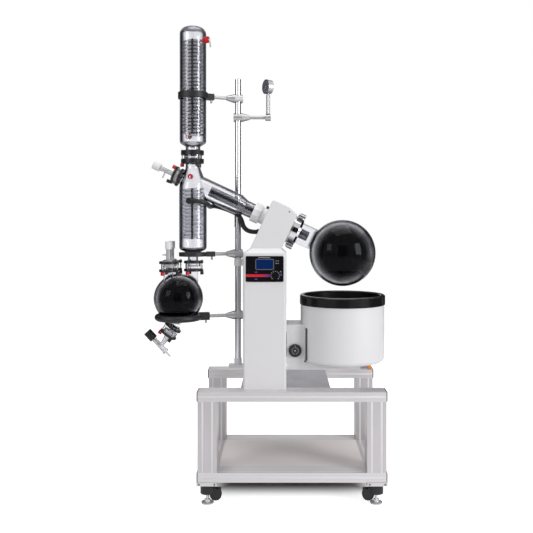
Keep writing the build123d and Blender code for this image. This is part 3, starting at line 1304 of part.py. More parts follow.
with BuildPart() as bath_rim:
    turned(BATH, [
        (RIM_IN, BATH_TOP - RIM_BEVEL),
        (RIM_IN + RIM_BEVEL, BATH_TOP),
        (RIM_R - RIM_BEVEL, BATH_TOP),
        (RIM_R, BATH_TOP - RIM_BEVEL),
        (RIM_R, BATH_RIM_Z),
        (BATH_R + SEAT, BATH_RIM_Z),
        (BATH_R + SEAT, SHELL_TOP + POT_FLANGE + SEAT),
        (RIM_IN, SHELL_TOP + POT_FLANGE + SEAT),
    ])
save(bath_rim.part, "bath_rim")

BOX_LEN = 96.0
BOX_REACH = BOX_LEFT + BOX_LEN
BOX_WALL = 3.0
BOX_SKIN = BATH_R + SEAT
BOX_ROUND = 4.0
DIAL_LEN = 9.0
DIAL_FACE = Plane(origin=(DIAL_X, BOX_FRONT, DIAL_Z), x_dir=(1, 0, 0), z_dir=(0, -1, 0))
with BuildPart() as bath_control_box:
    with BuildSketch(Plane.XY.offset(BATH_LOW)):
        with Locations(((PLATE_X + BOX_REACH) / 2, BOX_MID_Y)):
            Rectangle(BOX_REACH - PLATE_X, BOX_DEEP)
    extrude(amount=BOX_TOP - BATH_LOW)
    fillet(bath_control_box.edges().group_by(Axis.Z)[-1].filter_by(Axis.X), BOX_ROUND)
    with BuildSketch(Plane.XY.offset(BATH_LOW)):
        with Locations(((PLATE_X + BOX_REACH) / 2, BOX_MID_Y)):
            Rectangle(BOX_REACH - PLATE_X - 2 * BOX_WALL, BOX_DEEP - 2 * BOX_WALL)
        with Locations((BATH_X, BATH_Y)):
            Circle(BOX_SKIN + BOX_WALL, mode=Mode.SUBTRACT)
    extrude(amount=BOX_TOP - BATH_LOW - BOX_WALL, mode=Mode.SUBTRACT)
    disc(Plane(origin=(BATH_X, BATH_Y, BATH_LOW)), BOX_SKIN, BOX_TOP, mode=Mode.SUBTRACT)
    disc(DIAL_FACE.offset(-2 * BOX_WALL), SHAFT_R + RUN_GAP, 3 * BOX_WALL, mode=Mode.SUBTRACT)
save(bath_control_box.part, "bath_control_box")

with BuildPart() as temperature_dial:
    dial_knob(DIAL_FACE, DIAL_R, DIAL_LEN, BOX_WALL)
save(temperature_dial.part, "temperature_dial")

TAP_RIGHT = 100.0
TAP_BACK = 110.0
TAP_DROP = 58.0
TAP_X = BATH_X + TAP_RIGHT
TAP_Y = BATH_Y + TAP_BACK
TAP_Z = BATH_LOW - TAP_DROP
TAP_R = 7.0
TAP_BODY_R = 9.0
TAP_LEN = 30.0
TAP_BORE = 10.0
TAP_KNOB_R = 10.0
TAP_KNOB_LEN = 16.0
TAP_SHAFT = 8.0
with BuildPart() as bath_drain:
    disc(Plane(origin=(TAP_X, TAP_Y, TAP_Z)), TAP_R, BATH_LOW - TAP_Z)
    tap = Plane(origin=(TAP_X - TAP_BODY_R, TAP_Y, TAP_Z), x_dir=(0, 1, 0), z_dir=(1, 0, 0))
    disc(tap, TAP_BODY_R, TAP_LEN)
    disc(tap.offset(TAP_LEN - TAP_BORE), SHAFT_R + RUN_GAP, TAP_BORE + PASS, mode=Mode.SUBTRACT)
save(bath_drain.part, "bath_drain")

with BuildPart() as drain_tap_knob:
    dial_knob(tap.offset(TAP_LEN), TAP_KNOB_R, TAP_KNOB_LEN, TAP_SHAFT)
save(drain_tap_knob.part, "drain_tap_knob")
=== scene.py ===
"""Looks of a floor-standing rotary evaporator: finishes, coils, joints, print, floor, light and camera."""

import logging
from dataclasses import dataclass, field, replace
from enum import Enum
from math import cos, hypot, pi, radians, sin
from typing import Callable, Iterable, Sequence

import bpy
from mathutils import Matrix, Vector

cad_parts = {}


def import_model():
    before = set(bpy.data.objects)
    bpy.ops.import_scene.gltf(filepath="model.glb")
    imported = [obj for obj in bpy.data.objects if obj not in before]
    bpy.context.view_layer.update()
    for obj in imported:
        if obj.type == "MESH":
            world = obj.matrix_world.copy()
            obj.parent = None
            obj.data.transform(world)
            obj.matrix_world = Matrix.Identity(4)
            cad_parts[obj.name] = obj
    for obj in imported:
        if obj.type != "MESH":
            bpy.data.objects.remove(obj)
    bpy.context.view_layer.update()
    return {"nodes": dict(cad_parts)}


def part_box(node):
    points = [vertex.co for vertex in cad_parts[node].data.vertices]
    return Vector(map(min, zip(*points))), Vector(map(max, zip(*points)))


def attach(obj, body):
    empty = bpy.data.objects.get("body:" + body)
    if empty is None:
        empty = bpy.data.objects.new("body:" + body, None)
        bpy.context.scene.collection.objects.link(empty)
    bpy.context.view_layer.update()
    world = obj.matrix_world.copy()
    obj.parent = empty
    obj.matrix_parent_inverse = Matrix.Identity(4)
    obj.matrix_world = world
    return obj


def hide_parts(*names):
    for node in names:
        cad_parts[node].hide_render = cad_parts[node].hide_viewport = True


LOG = logging.getLogger("evaporator")
PHOTO_SIDE = 533
Point = tuple[float, float, float]
Color = tuple[float, float, float]
Outline = Sequence[tuple[float, float]]
Piece = bpy.types.Object
Material = bpy.types.Material
Tree = bpy.types.NodeTree
Node = bpy.types.Node
Socket = bpy.types.NodeSocket


class Body(str, Enum):
    """Bodies of the frame that new pieces ride on."""

    BASE = "base"
    LIFT = "lift"
    ROTOR = "rotor"
    DIAL = "dial"


class Kind(Enum):
    """How a finish spreads its grain over a surface."""

    EVEN = (1.0, 1.0, 1.0)
    DRAWN_X = (0.02, 1.0, 1.0)
    DRAWN_Z = (1.0, 1.0, 0.02)


# Finishes


class Net:
    """Shader nodes of one tree, each made, set and linked in one step."""

    def __init__(self, tree: Tree) -> None:
        """Work on a tree."""
        self.tree = tree

    def feed(self, node: Node, inputs: dict[str | int, object]) -> None:
        """Set a node's inputs to values, or link them to sockets.

        Args:
            node: The node.
            inputs: The value or the socket for each input.
        """
        for label, value in inputs.items():
            if isinstance(value, Socket):
                self.tree.links.new(value, node.inputs[label])
            else:
                node.inputs[label].default_value = value

    def add(self, kind: str, inputs: dict[str | int, object] | None = None, **settings: object) -> Node:
        """Make a node.

        Args:
            kind: Its type, without the common prefix.
            inputs: The value or the socket for each input.
            settings: Its other properties.

        Returns:
            The node.
        """
        node = self.tree.nodes.new(f"ShaderNode{kind}")
        for label, value in settings.items():
            setattr(node, label, value)
        self.feed(node, inputs or {})
        return node

    def math(self, operation: str, *values: object) -> Socket:
        """Result of a sum with these values."""
        return self.add("Math", dict(enumerate(values)), operation=operation).outputs[0]

    def spread(self, value: object, low: float, high: float, style: str = "LINEAR") -> Socket:
        """Value mapped from a span to between 0 and 1."""
        inputs = {"Value": value, "From Min": low, "From Max": high}
        return self.add("MapRange", inputs, interpolation_type=style).outputs["Result"]

    def mix(self, share: object, first: object, second: object) -> Socket:
        """Colour between two colours, by the share of the second."""
        return self.add("Mix", {0: share, 6: first, 7: second}, data_type="RGBA").outputs[2]

    def ramp(
        self, value: object, stops: Sequence[tuple[float, Color]], style: str = "LINEAR"
    ) -> Socket:
        """Look a value up in a colour ramp.

        Args:
            value: Where on the ramp.
            stops: Place and colour of each stop, in rising order.
            style: How it blends between them.

        Returns:
            The colour.
        """
        node = self.add("ValToRGB", {"Fac": value})
        node.color_ramp.interpolation = style
        elements = node.color_ramp.elements
        while len(elements) < len(stops):
            elements.new(1.0)
        for number, (at, color) in enumerate(stops):
            elements[number].position = at
            elements[number].color = (*color, 1)
        return node.outputs["Color"]

    def place(self) -> Socket:
        """Place of a point on the piece."""
        return self.add("TexCoord").outputs["Object"]

    def facing(self) -> Socket:
        """How far the surface is turned away from the eye."""
        return self.add("LayerWeight", {"Blend": 0.5}).outputs["Facing"]


def new_material(name: str) -> tuple[Material, Net, Node]:
    """Start a material and give its nodes and its main shader with it."""
    made = bpy.data.materials.new(name)
    made.use_nodes = True
    return made, Net(made.node_tree), made.node_tree.nodes["Principled BSDF"]


class Effects:
    """Node groups that several finishes share."""

    noise_span: tuple[float, float] = (0.3, 0.7)

    def __init__(self) -> None:
        """Build the groups once."""
        self.grain = self._grain()
        self.smudge_and_reflection = self._smudge_and_reflection()

    @staticmethod
    def _group(
        name: str, inputs: Sequence[tuple[str, str, object]], outputs: Sequence[tuple[str, str]]
    ) -> tuple[Net, Node, Node]:
        """Start a node group with named sockets.

        Args:
            name: Name of the group.
            inputs: Name, socket type and default of each input.
            outputs: Name and socket type of each output.

        Returns:
            The group's nodes, with its input and output nodes.
        """
        tree = bpy.data.node_groups.new(name, "ShaderNodeTree")
        for label, kind, default in inputs:
            socket = tree.interface.new_socket(name=label, in_out="INPUT", socket_type=f"NodeSocket{kind}")
            socket.default_value = default
        for label, kind in outputs:
            tree.interface.new_socket(name=label, in_out="OUTPUT", socket_type=f"NodeSocket{kind}")
        return Net(tree), tree.nodes.new("NodeGroupInput"), tree.nodes.new("NodeGroupOutput")

    def _grain(self) -> Tree:
        """Fine texture of a surface: a height for bump, and a roughness between two limits."""
        net, start, end = self._group(
            "surface_grain",
            [
                ("Stretch", "Vector", (1.0, 1.0, 1.0)), ("Scale", "Float", 400.0),
                ("Rough Low", "Float", 0.3), ("Rough High", "Float", 0.5),
            ],
            [("Height", "Float"), ("Roughness", "Float")],
        )
        given = start.outputs
        stretch = net.add("VectorMath", {0: net.place(), 1: given["Stretch"]}, operation="MULTIPLY")
        noise = net.add("TexNoise", {"Vector": stretch.outputs[0], "Scale": given["Scale"], "Detail": 3.0})
        low, high = self.noise_span
        rough = net.add("MapRange", {
            "Value": noise.outputs["Fac"], "From Min": low, "From Max": high,
            "To Min": given["Rough Low"], "To Max": given["Rough High"],
        })
        net.feed(end, {"Height": noise.outputs["Fac"], "Roughness": rough.outputs["Result"]})
        return net.tree

    def _smudge_and_reflection(self) -> Tree:
        """Broad uneven tone as a colour to lay over the base: random tone of a handled or cast surface, and
        at great depth a painted wavy reflection.
        """
        net, start, end = self._group(
            "handled_tone_and_reflection",
            [("Color", "Color", (0.8, 0.8, 0.8, 1.0)), ("Scale", "Float", 9.0), ("Depth", "Float", 0.06)],
            [("Color", "Color")],
        )
        given = start.outputs
        noise = net.add("TexNoise", {"Vector": net.place(), "Scale": given["Scale"], "Detail": 4.0})
        level = net.math("SUBTRACT", 1.0, net.math("MULTIPLY", noise.outputs["Fac"], given["Depth"]))
        shade = net.add("VectorMath", {0: given["Color"], "Scale": level}, operation="SCALE")
        net.feed(end, {"Color": shade.outputs[0]})
        return net.tree


@dataclass(frozen=True)
class Finish:
    """One finish of the machine, with the slot of the record that it stands for."""

    name: str
    slot: str
    color: Color
    rough: tuple[float, float] = (0.3, 0.45)
    metallic: float = 0.0
    coat: float = 0.0
    transmission: float = 0.0
    ior: float = 1.46
    scale: float = 900.0
    bump: float = 0.05
    depth: float = 0.05
    kind: Kind = Kind.EVEN
    glow: float = 0.0
    # Painted shade: rim is the colour that edges turn to, between the facings in edge; bowl is where a flask
    # keeps its painted dark colour.
    rim: Color | None = None
    bowl: tuple[Point, float] | None = None
    neck: Color = (0.90, 0.90, 0.93)
    edge: tuple[float, float] = (0.20, 0.50)
    coat_rough: float = 0.05
    grain_height: float = 0.0005

    def material(self, effects: Effects) -> Material:
        """Make the material.

        Args:
            effects: The shared node groups.

        Returns:
            The finished material.
        """
        made, net, shader = new_material(self.name)
        grain = net.add("Group", {
            "Stretch": self.kind.value, "Scale": self.scale,
            "Rough Low": self.rough[0], "Rough High": self.rough[1],
        }, node_tree=effects.grain).outputs
        tone = net.add("Group", {"Color": (*self.color, 1.0), "Depth": self.depth}, node_tree=effects.smudge_and_reflection)
        bump = net.add("Bump", {
            "Strength": self.bump, "Distance": self.grain_height, "Height": grain["Height"],
        })
        color = tone.outputs["Color"]
        # Painted light on the flasks: a broken bright ring of painted refraction, and the bowl's painted dark
        # colour.
        if self.bowl:
            color = self.bowl_color(net, self.painted_refraction_ring(net, color))
        # Painted shade: where the surface is seen edge-on its colour turns to rim, for the dark edges of
        # glass and the dark reflections at the sides of chrome, satin and valve parts.
        if self.rim:
            color = net.mix(net.spread(net.facing(), *self.edge, "SMOOTHSTEP"), color, (*self.rim, 1))
        net.feed(shader, {
            "Base Color": color, "Metallic": self.metallic, "Roughness": grain["Roughness"], "IOR": self.ior,
            "Transmission Weight": self.transmission, "Coat Weight": self.coat,
            "Coat Roughness": self.coat_rough, "Normal": bump.outputs["Normal"],
        })
        if self.glow:
            net.feed(shader, {"Emission Color": tone.outputs["Color"], "Emission Strength": self.glow})
        return made

    def painted_refraction_ring(self, net: Net, inside: Socket) -> Socket:
        """Paint a broken bright ring near the edge of a flask's bowl, a painted refraction of the bright
        surround.

        Args:
            net: The nodes of the material.
            inside: Colour on the bowl.

        Returns:
            The mixed colour.
        """
        levels = ((0.20, 0.0), (0.34, 0.3), (0.44, 0.42), (0.52, 1.0), (0.62, 1.0), (0.70, 0.0))
        ring = net.ramp(net.facing(), [(at, (level,) * 3) for at, level in levels], "EASE")
        patches = net.add("TexNoise", {"Vector": net.place(), "Scale": 5.5})
        broken = net.spread(patches.outputs["Fac"], 0.34, 0.52)
        return net.mix(net.math("MULTIPLY", ring, broken), inside, (*self.neck, 1))

    def bowl_color(self, net: Net, inside: Socket) -> Socket:
        """Keep the finish's colour, the painted shade of the bowl, on the bowl of a flask and clear it
        towards the necks.

        Args:
            net: The nodes of the material.
            inside: Colour on the bowl.

        Returns:
            The mixed colour.
        """
        centre, radius = self.bowl
        reach = net.add("VectorMath", {0: net.place(), 1: centre}, operation="DISTANCE")
        fade = net.spread(reach.outputs["Value"], radius * 0.99, radius * 1.12, "SMOOTHSTEP")
        return net.mix(fade, inside, (*self.neck, 1))


# Painted light and shade: the rails get a lighter copy and the legs a darker copy of the same anodised
# finish.
PROFILE_X = Finish("anodised_rail", "profile", (0.74, 0.715, 0.73), (0.35, 0.39), 0.8, scale=1400, bump=0.04,
                   kind=Kind.DRAWN_X)
PROFILE_Z = Finish("anodised_leg", "profile", (0.63, 0.60, 0.615), (0.35, 0.39), 0.8, scale=1400, bump=0.04,
                   kind=Kind.DRAWN_Z)
STRIP = Finish("slot_cover", "profile", (0.80, 0.79, 0.80), (0.35, 0.5), scale=700)
END_CAP = Finish("end_cap", "black_cap", (0.012, 0.012, 0.013), (0.35, 0.5), scale=1500, bump=0.15)
SHELF = Finish("shelf_sheet", "grey_panel", (0.86, 0.80, 0.79), (0.45, 0.58), 0.25, scale=500,
               kind=Kind.DRAWN_X)
CAST = Finish("machined_plate", "cast_plate", (0.72, 0.71, 0.72), (0.28, 0.42), 0.7, scale=900)
CASTER = Finish("caster_plastic", "caster_black", (0.014, 0.014, 0.015), (0.28, 0.42), scale=1300, bump=0.12)
WHEEL = Finish("wheel_rubber", "caster_wheel", (0.02, 0.02, 0.021), (0.5, 0.7), scale=1600, bump=0.2)
FOOT = Finish("foot_chrome", "foot_chrome", (0.80, 0.80, 0.82), (0.16, 0.28), 0.6, scale=600)
# Painted reflection: the base sheet's colour is darkened and blued, and its deep tone variation lays wavy
# dark patches, for the dark parts that it mirrors.
BASE_SHEET = Finish("polished_base", "base_steel", (0.30, 0.295, 0.36), (0.04, 0.12), 1.0, scale=300,
                    kind=Kind.DRAWN_X, depth=0.7)
PAINT = Finish("powder_coat", "white_paint", (0.74, 0.73, 0.745), (0.34, 0.46), coat=0.12, scale=1100,
               bump=0.07, depth=0.03)
PANEL = Finish("panel_film", "panel_black", (0.006, 0.006, 0.008), (0.12, 0.2), coat=0.6, scale=1200,
               bump=0.04)
SCREEN = Finish("screen", "screen_blue", (0.003, 0.02, 0.11), (0.1, 0.16), coat=0.5, scale=2500, glow=0.02)
FRAME_GREY = Finish("screen_frame", "knob_silver", (0.15, 0.155, 0.18), (0.3, 0.4), 0.3)
STEEL = Finish("turned_steel", "steel", (0.6, 0.6, 0.62), (0.2, 0.32), 1.0, scale=700)
# Painted reflection: chrome and satin parts darken towards rim at their edges, for the dark reflections at
# their sides.
CHROME = Finish("chrome", "chrome", (0.80, 0.80, 0.83), (0.05, 0.14), 1.0, scale=500, bump=0.03, depth=0.08,
                rim=(0.09, 0.09, 0.10), edge=(0.06, 0.50))
SATIN = Finish("satin_boss", "chrome", (0.56, 0.55, 0.56), (0.26, 0.38), 0.55, scale=500, bump=0.03,
               depth=0.08, rim=(0.12, 0.12, 0.13), edge=(0.10, 0.60))
# Painted shade: the flask glass is coloured near black for the flasks' dark look; it and the clear glass
# darken towards rim at their edges.
PAINTED_SHADE_GLASS = Finish("flask_glass", "glass", (0.05, 0.051, 0.056), (0.0, 0.03), transmission=1.0, ior=1.15,
               scale=60, bump=0.001, rim=(0.02, 0.02, 0.025), edge=(0.64, 0.74))
CLEAR = Finish("clear_glass", "glass", (0.90, 0.90, 0.93), (0.0, 0.03), transmission=1.0, scale=60, bump=0.01,
               rim=(0.02, 0.02, 0.028))
# Painted shade: the vapour duct's glass is coloured near black and opaque for its dark look.
PAINTED_SHADE_DUCT = Finish("duct_tube", "glass", (0.045, 0.045, 0.06), (0.02, 0.06), coat=0.8, scale=60, bump=0.01)
COIL = Finish("coil_glass", "coil_glass", (0.80, 0.80, 0.87), (0.06, 0.14), 0.1, coat=0.8, scale=200)
# Painted shade: DIM_COIL is a darker copy of the coil glass for the upper coil, and the glass of the return
# tubes and the upper coils' hearts is coloured near black.
DIM_COIL = Finish("shaded_coil", "coil_glass", (0.38, 0.38, 0.43), (0.06, 0.14), 0.2, coat=0.9, scale=200)
DARK_TUBE = Finish("return_tube", "coil_glass", (0.03, 0.03, 0.035), (0.04, 0.1), coat=0.6, scale=200)
# Painted shade: the valve glass darkens towards rim at its edges.
VALVE = Finish("valve_glass", "white_plastic", (0.80, 0.80, 0.83), (0.1, 0.2), transmission=0.55, scale=300,
               rim=(0.10, 0.10, 0.115), edge=(0.18, 0.62))
WHITE = Finish("white_polymer", "white_plastic", (0.80, 0.79, 0.81), (0.3, 0.42), scale=900, bump=0.06)
BLACK = Finish("black_polymer", "black_plastic", (0.012, 0.012, 0.013), (0.3, 0.45), scale=1300, bump=0.12)
RUBBER = Finish("black_rubber", "black_rubber", (0.014, 0.014, 0.016), (0.38, 0.55), scale=1500, bump=0.15)
# Painted shadow: the dark strip in the corner between the bath and its side box.
PAINTED_SHADOW_STRIP = Finish("corner_shadow_paint", "black_rubber", (0.07, 0.07, 0.075), (0.38, 0.55), scale=1500, bump=0.15)
RED = Finish("red_cap", "red_plastic", (0.56, 0.006, 0.012), (0.22, 0.34), coat=0.3, scale=900)
POT = Finish("coated_pot", "pot_steel", (0.02, 0.02, 0.021), (0.2, 0.32), 0.4, scale=900)
HEATER = Finish("cast_heater", "heater", (0.4, 0.4, 0.4), (0.4, 0.6), 0.8)
RIM = Finish("gloss_rim", "rim_black", (0.008, 0.008, 0.009), (0.16, 0.26), ior=1.3, scale=500, bump=0.02)
ORANGE = Finish("tap_orange", "orange_plastic", (0.83, 0.26, 0.02), (0.3, 0.4), scale=900)
MARK = Finish("white_print", "panel_black", (0.72, 0.72, 0.75), (0.35, 0.45))
VIOLET = Finish("violet_print", "panel_black", (0.16, 0.07, 0.42), (0.35, 0.45))
DIAL_RING = Finish("dial_ring", "knob_silver", (0.10, 0.10, 0.11), (0.2, 0.3), 0.6, scale=800)
DIAL_FACE = Finish("gauge_face", "chrome", (0.10, 0.105, 0.14), (0.3, 0.4))
DARK_STEEL = Finish("dark_screw", "steel", (0.05, 0.05, 0.055), (0.3, 0.42), 0.6)

NODE_FINISHES = {
    "top_rails": PROFILE_X, "bottom_rails": PROFILE_X, "legs": PROFILE_Z, "rail_end_caps": END_CAP,
    "shelf_panel": SHELF, "caster_plates": CAST, "base_plate": BASE_SHEET, "column": PAINT,
    "guide_rods": STEEL, "drive_housing": PAINT, "shaft_bearings": STEEL, "drive_sleeve": STEEL,
    "vapor_tube": PAINTED_SHADE_DUCT, "flask_clamp": CHROME, "evaporating_flask": PAINTED_SHADE_GLASS, "seal_housing": WHITE,
    "hose_fittings": BLACK, "lower_condenser": CLEAR, "lower_coil": COIL, "upper_condenser": CLEAR,
    "upper_coil": COIL, "receiving_flask": PAINTED_SHADE_GLASS, "flange_clamps": BLACK, "red_caps": RED,
    "vent_and_feed_valves": VALVE, "vent_knob_front": WHITE, "vent_knob_rear": WHITE, "feed_knob": WHITE,
    "drain_valve": VALVE, "drain_knob": BLACK, "stand_rod": CHROME, "rod_brackets": PAINT,
    "rod_clamps": SATIN, "ring_clamps": RUBBER, "vacuum_gauge": SATIN, "vacuum_hose": RUBBER,
    "control_panel": PANEL, "display": SCREEN, "control_knob": RIM, "lift_carriage": PAINT,
    "bath_shell": PAINT, "bath_pot": POT, "bath_heater": HEATER, "bath_rim": RIM,
    "bath_control_box": PAINT, "temperature_dial": BLACK, "bath_drain": STEEL, "drain_tap_knob": ORANGE,
}
for _stem, _finish in (("body", CASTER), ("wheel", WHEEL), ("foot", FOOT)):
    NODE_FINISHES |= {f"caster_{_stem}_{_number}": _finish for _number in range(1, 5)}


# Hand tools


class Bench:
    """Tools that shape a new piece in edit mode and set it in its place."""

    @staticmethod
    def clear() -> None:
        """Leave nothing selected."""
        bpy.ops.object.select_all(action="DESELECT")

    @staticmethod
    def pick(*pieces: Piece) -> None:
        """Select these pieces only, with the first one active."""
        Bench.clear()
        for piece in pieces:
            piece.select_set(True)
        bpy.context.view_layer.objects.active = pieces[0]

    @staticmethod
    def edit(piece: Piece) -> None:
        """Open a piece in edit mode with all of it selected."""
        Bench.pick(piece)
        bpy.ops.object.mode_set(mode="EDIT")
        bpy.ops.mesh.select_mode(type="VERT")
        bpy.ops.mesh.select_all(action="SELECT")

    @staticmethod
    def close() -> None:
        """Go back to object mode."""
        bpy.ops.object.mode_set(mode="OBJECT")

    @staticmethod
    def fresh(name: str) -> Piece:
        """Name the primitive just added and put its place in its mesh."""
        piece = bpy.context.active_object
        piece.name = name
        bpy.ops.object.transform_apply(location=True, rotation=True, scale=True)
        return piece

    @staticmethod
    def lathe(name: str, outline: Outline, steps: int) -> Piece:
        """Spin an outline about the Z axis.

        Args:
            name: Name of the piece.
            outline: Radius and height of each point, outwards or round.
            steps: Number of steps round.

        Returns:
            The turned piece at the origin.
        """
        Bench.clear()
        radius, height = outline[0]
        bpy.ops.mesh.primitive_plane_add(size=0.001, location=(radius, 0, height))
        piece = Bench.fresh(name)
        Bench.edit(piece)
        bpy.ops.mesh.merge(type="CENTER")
        for (r0, z0), (r1, z1) in zip(outline, outline[1:]):
            bpy.ops.mesh.extrude_region_move(TRANSFORM_OT_translate={"value": (r1 - r0, 0, z1 - z0)})
        bpy.ops.mesh.select_all(action="SELECT")
        bpy.ops.mesh.spin(steps=steps, angle=2 * pi, center=(0, 0, 0), axis=(0, 0, 1))
        bpy.ops.mesh.select_all(action="SELECT")
        bpy.ops.mesh.remove_doubles(threshold=1e-6)
        bpy.ops.mesh.normals_make_consistent(inside=False)
        Bench.close()
        return piece

    @staticmethod
    def rod(name: str, radius: float, low: float, high: float, steps: int) -> Piece:
        """Solid rod about the Z axis between two heights."""
        return Bench.lathe(name, [(0.0, low), (radius, low), (radius, high), (0.0, high)], steps)

    @staticmethod
    def block(name: str, size: Sequence[float], at: Sequence[float], bevel: float) -> Piece:
        """Rounded block.

        Args:
            name: Name of the piece.
            size: Full width, depth and height.
            at: Centre of the block.
            bevel: Width of the rounded edges.

        Returns:
            The block with its place in its mesh.
        """
        Bench.clear()
        bpy.ops.mesh.primitive_cube_add(size=1, location=at, scale=size)
        piece = Bench.fresh(name)
        Bench.edit(piece)
        bpy.ops.mesh.bevel(offset=bevel, segments=2, affect="EDGES")
        Bench.close()
        return piece

    @staticmethod
    def fluted(name: str, radius: float, length: float, flutes: int, sink: float) -> Piece:
        """Round grip with flutes down its side, standing on the origin along Z.

        Args:
            name: Name of the piece.
            radius: Outer radius.
            length: Height of the grip.
            flutes: Number of flutes.
            sink: Depth of each flute.

        Returns:
            The grip.
        """
        Bench.clear()
        bpy.ops.mesh.primitive_cylinder_add(
            vertices=flutes * 2, radius=radius, depth=length, location=(0, 0, length / 2)
        )
        piece = Bench.fresh(name)
        sides = [p for p in piece.data.polygons if abs(p.normal.z) < 0.5]
        picked = {p.index for i, p in enumerate(sides) if i % 2}
        Bench.select_faces(piece, lambda face: face.index in picked)
        bpy.ops.mesh.inset(thickness=radius * 0.03, depth=-sink, use_individual=True)
        Bench.close()
        Bench.select_faces(piece, lambda face: face.normal.z > 0.9 and face.center.z > length * 0.9)
        bpy.ops.mesh.inset(thickness=radius * 0.18, depth=0)
        bpy.ops.mesh.inset(thickness=radius * 0.08, depth=-sink)
        Bench.close()
        edges = piece.modifiers.new("edges", "BEVEL")
        edges.width = min(radius, length) * 0.06
        edges.segments = 2
        edges.limit_method = "ANGLE"
        Bench.pick(piece)
        bpy.ops.object.modifier_apply(modifier=edges.name)
        return piece

    @staticmethod
    def select_faces(piece: Piece, test: Callable[[bpy.types.MeshPolygon], bool]) -> None:
        """Open a piece in edit mode with only the faces that pass a test selected."""
        Bench.edit(piece)
        bpy.ops.mesh.select_mode(type="FACE")
        bpy.ops.mesh.select_all(action="DESELECT")
        Bench.close()
        for face in piece.data.polygons:
            face.select = test(face)
        bpy.ops.object.mode_set(mode="EDIT")

    @staticmethod
    def pipe(name: str, points: Sequence[Point], radius: float) -> Piece:
        """Round pipe along a smooth line through points.

        Args:
            name: Name of the piece.
            points: Control points of the line.
            radius: Radius of the pipe.

        Returns:
            The pipe as a mesh.
        """
        Bench.pick(Bench.line(name, points, radius, 3))
        bpy.ops.object.convert(target="MESH")
        return bpy.context.active_object

    @staticmethod
    def line(name: str, points: Sequence[Point], radius: float, sides: int) -> Piece:
        """Smooth round curve with these control points.

        Args:
            name: Name of the curve.
            points: Control points of its line.
            radius: Radius of its section.
            sides: Bevel resolution of its section.

        Returns:
            The curve, still a curve object.
        """
        data = bpy.data.curves.new(name, "CURVE")
        data.dimensions = "3D"
        data.resolution_u = 12
        data.bevel_depth = radius
        data.bevel_resolution = sides
        data.use_fill_caps = True
        spline = data.splines.new("NURBS")
        spline.points.add(len(points) - 1)
        for control, point in zip(spline.points, points):
            control.co = (*point, 1.0)
        spline.order_u = 3
        spline.use_endpoint_u = True
        curve = bpy.data.objects.new(name, data)
        bpy.context.scene.collection.objects.link(curve)
        return curve

    @staticmethod
    def place(piece: Piece, matrix: Matrix) -> Piece:
        """Put a piece's place in its mesh."""
        piece.data.transform(matrix)
        piece.data.update()
        return piece

    @staticmethod
    def copies(piece: Piece, places: Iterable[Matrix]) -> Piece:
        """Set copies of a modelled piece at several places and join them as one.

        Args:
            piece: The modelled piece at the origin, which becomes the joined one.
            places: Place of each copy.

        Returns:
            The joined piece.
        """
        first, *rest = places
        twins = []
        for spot in rest:
            twin = piece.copy()
            twin.data = piece.data.copy()
            bpy.context.scene.collection.objects.link(twin)
            twins.append(Bench.place(twin, spot))
        return Bench.join(Bench.place(piece, first), *twins)

    @staticmethod
    def join(*pieces: Piece) -> Piece:
        """Join pieces into the first."""
        Bench.pick(*pieces)
        bpy.ops.object.join()
        return pieces[0]


def stand(origin: Sequence[float], up: Sequence[float], ahead: Sequence[float] = (1, 0, 0)) -> Matrix:
    """Place of a piece whose Z points up a direction.

    Args:
        origin: Where the piece's origin goes.
        up: Direction of the piece's Z.
        ahead: Rough direction of its X.

    Returns:
        The matrix of the place.
    """
    z = Vector(up).normalized()
    x = Vector(ahead) - z * Vector(ahead).dot(z)
    if x.length < 1e-4:
        x = z.orthogonal()
    x.normalize()
    y = z.cross(x)
    turn = Matrix((x, y, z)).transposed().to_4x4()
    return Matrix.Translation(Vector(origin)) @ turn


@dataclass
class Workshop:
    """Keeps the materials and fits finished pieces to their bodies."""

    effects: Effects
    made: dict[str, Material] = field(default_factory=dict)
    smooth_angle: float = 38.0

    def material(self, finish: Finish) -> Material:
        """Material of a finish, made the first time it is asked for."""
        if finish.name not in self.made:
            self.made[finish.name] = finish.material(self.effects)
        return self.made[finish.name]

    def dress(self, piece: Piece, finish: Finish) -> None:
        """Give a piece one finish all over."""
        piece.data.materials.clear()
        piece.data.materials.append(self.material(finish))

    def fit(self, piece: Piece, body: Body, finish: Finish, *replaced: str) -> Piece:
        """Dress a new piece and fix it to its body.

        Args:
            piece: The finished mesh with its place in it.
            body: The body that it rides on.
            finish: Its finish.
            replaced: CAD nodes that it stands for.

        Returns:
            The piece.
        """
        self.dress(piece, finish)
        if piece.type == "MESH":
            Bench.pick(piece)
            bpy.ops.object.shade_smooth_by_angle(angle=radians(self.smooth_angle))
        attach(piece, body.value)
        if replaced:
            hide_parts(*replaced)
        LOG.info("%s rides on %s", piece.name, body.value)
        return piece

    def fit_joined(
        self, name: str, pieces: Sequence[Piece], body: Body, finish: Finish, *replaced: str
    ) -> Piece:
        """Join pieces and fit the whole.

        Args:
            name: Name of the whole.
            pieces: The finished pieces.
            body: The body that it rides on.
            finish: Its finish.
            replaced: CAD nodes that it stands for.

        Returns:
            The whole.
        """
        whole = Bench.join(*pieces)
        whole.name = name
        return self.fit(whole, body, finish, *replaced)

    def dress_nodes(self, nodes: dict[str, Piece], place: "Layout") -> None:
        """Give every CAD node its finish.

        Args:
            nodes: The frame's nodes.
            place: Where the bowls of the flasks are.
        """
        bowls = {
            "evaporating_flask": ((place.flask_x, place.axis_y, place.flask_z), place.flask_r),
            "receiving_flask": ((place.recv_x, place.axis_y, place.recv_z), place.recv_r),
        }
        for name, node in nodes.items():
            finish = NODE_FINISHES[name]
            if name in bowls:
                finish = replace(finish, name=f"{finish.name}_{name}", bowl=bowls[name])
            self.dress(node, finish)
            LOG.info("%s is dressed", name)


# Places that the pieces share


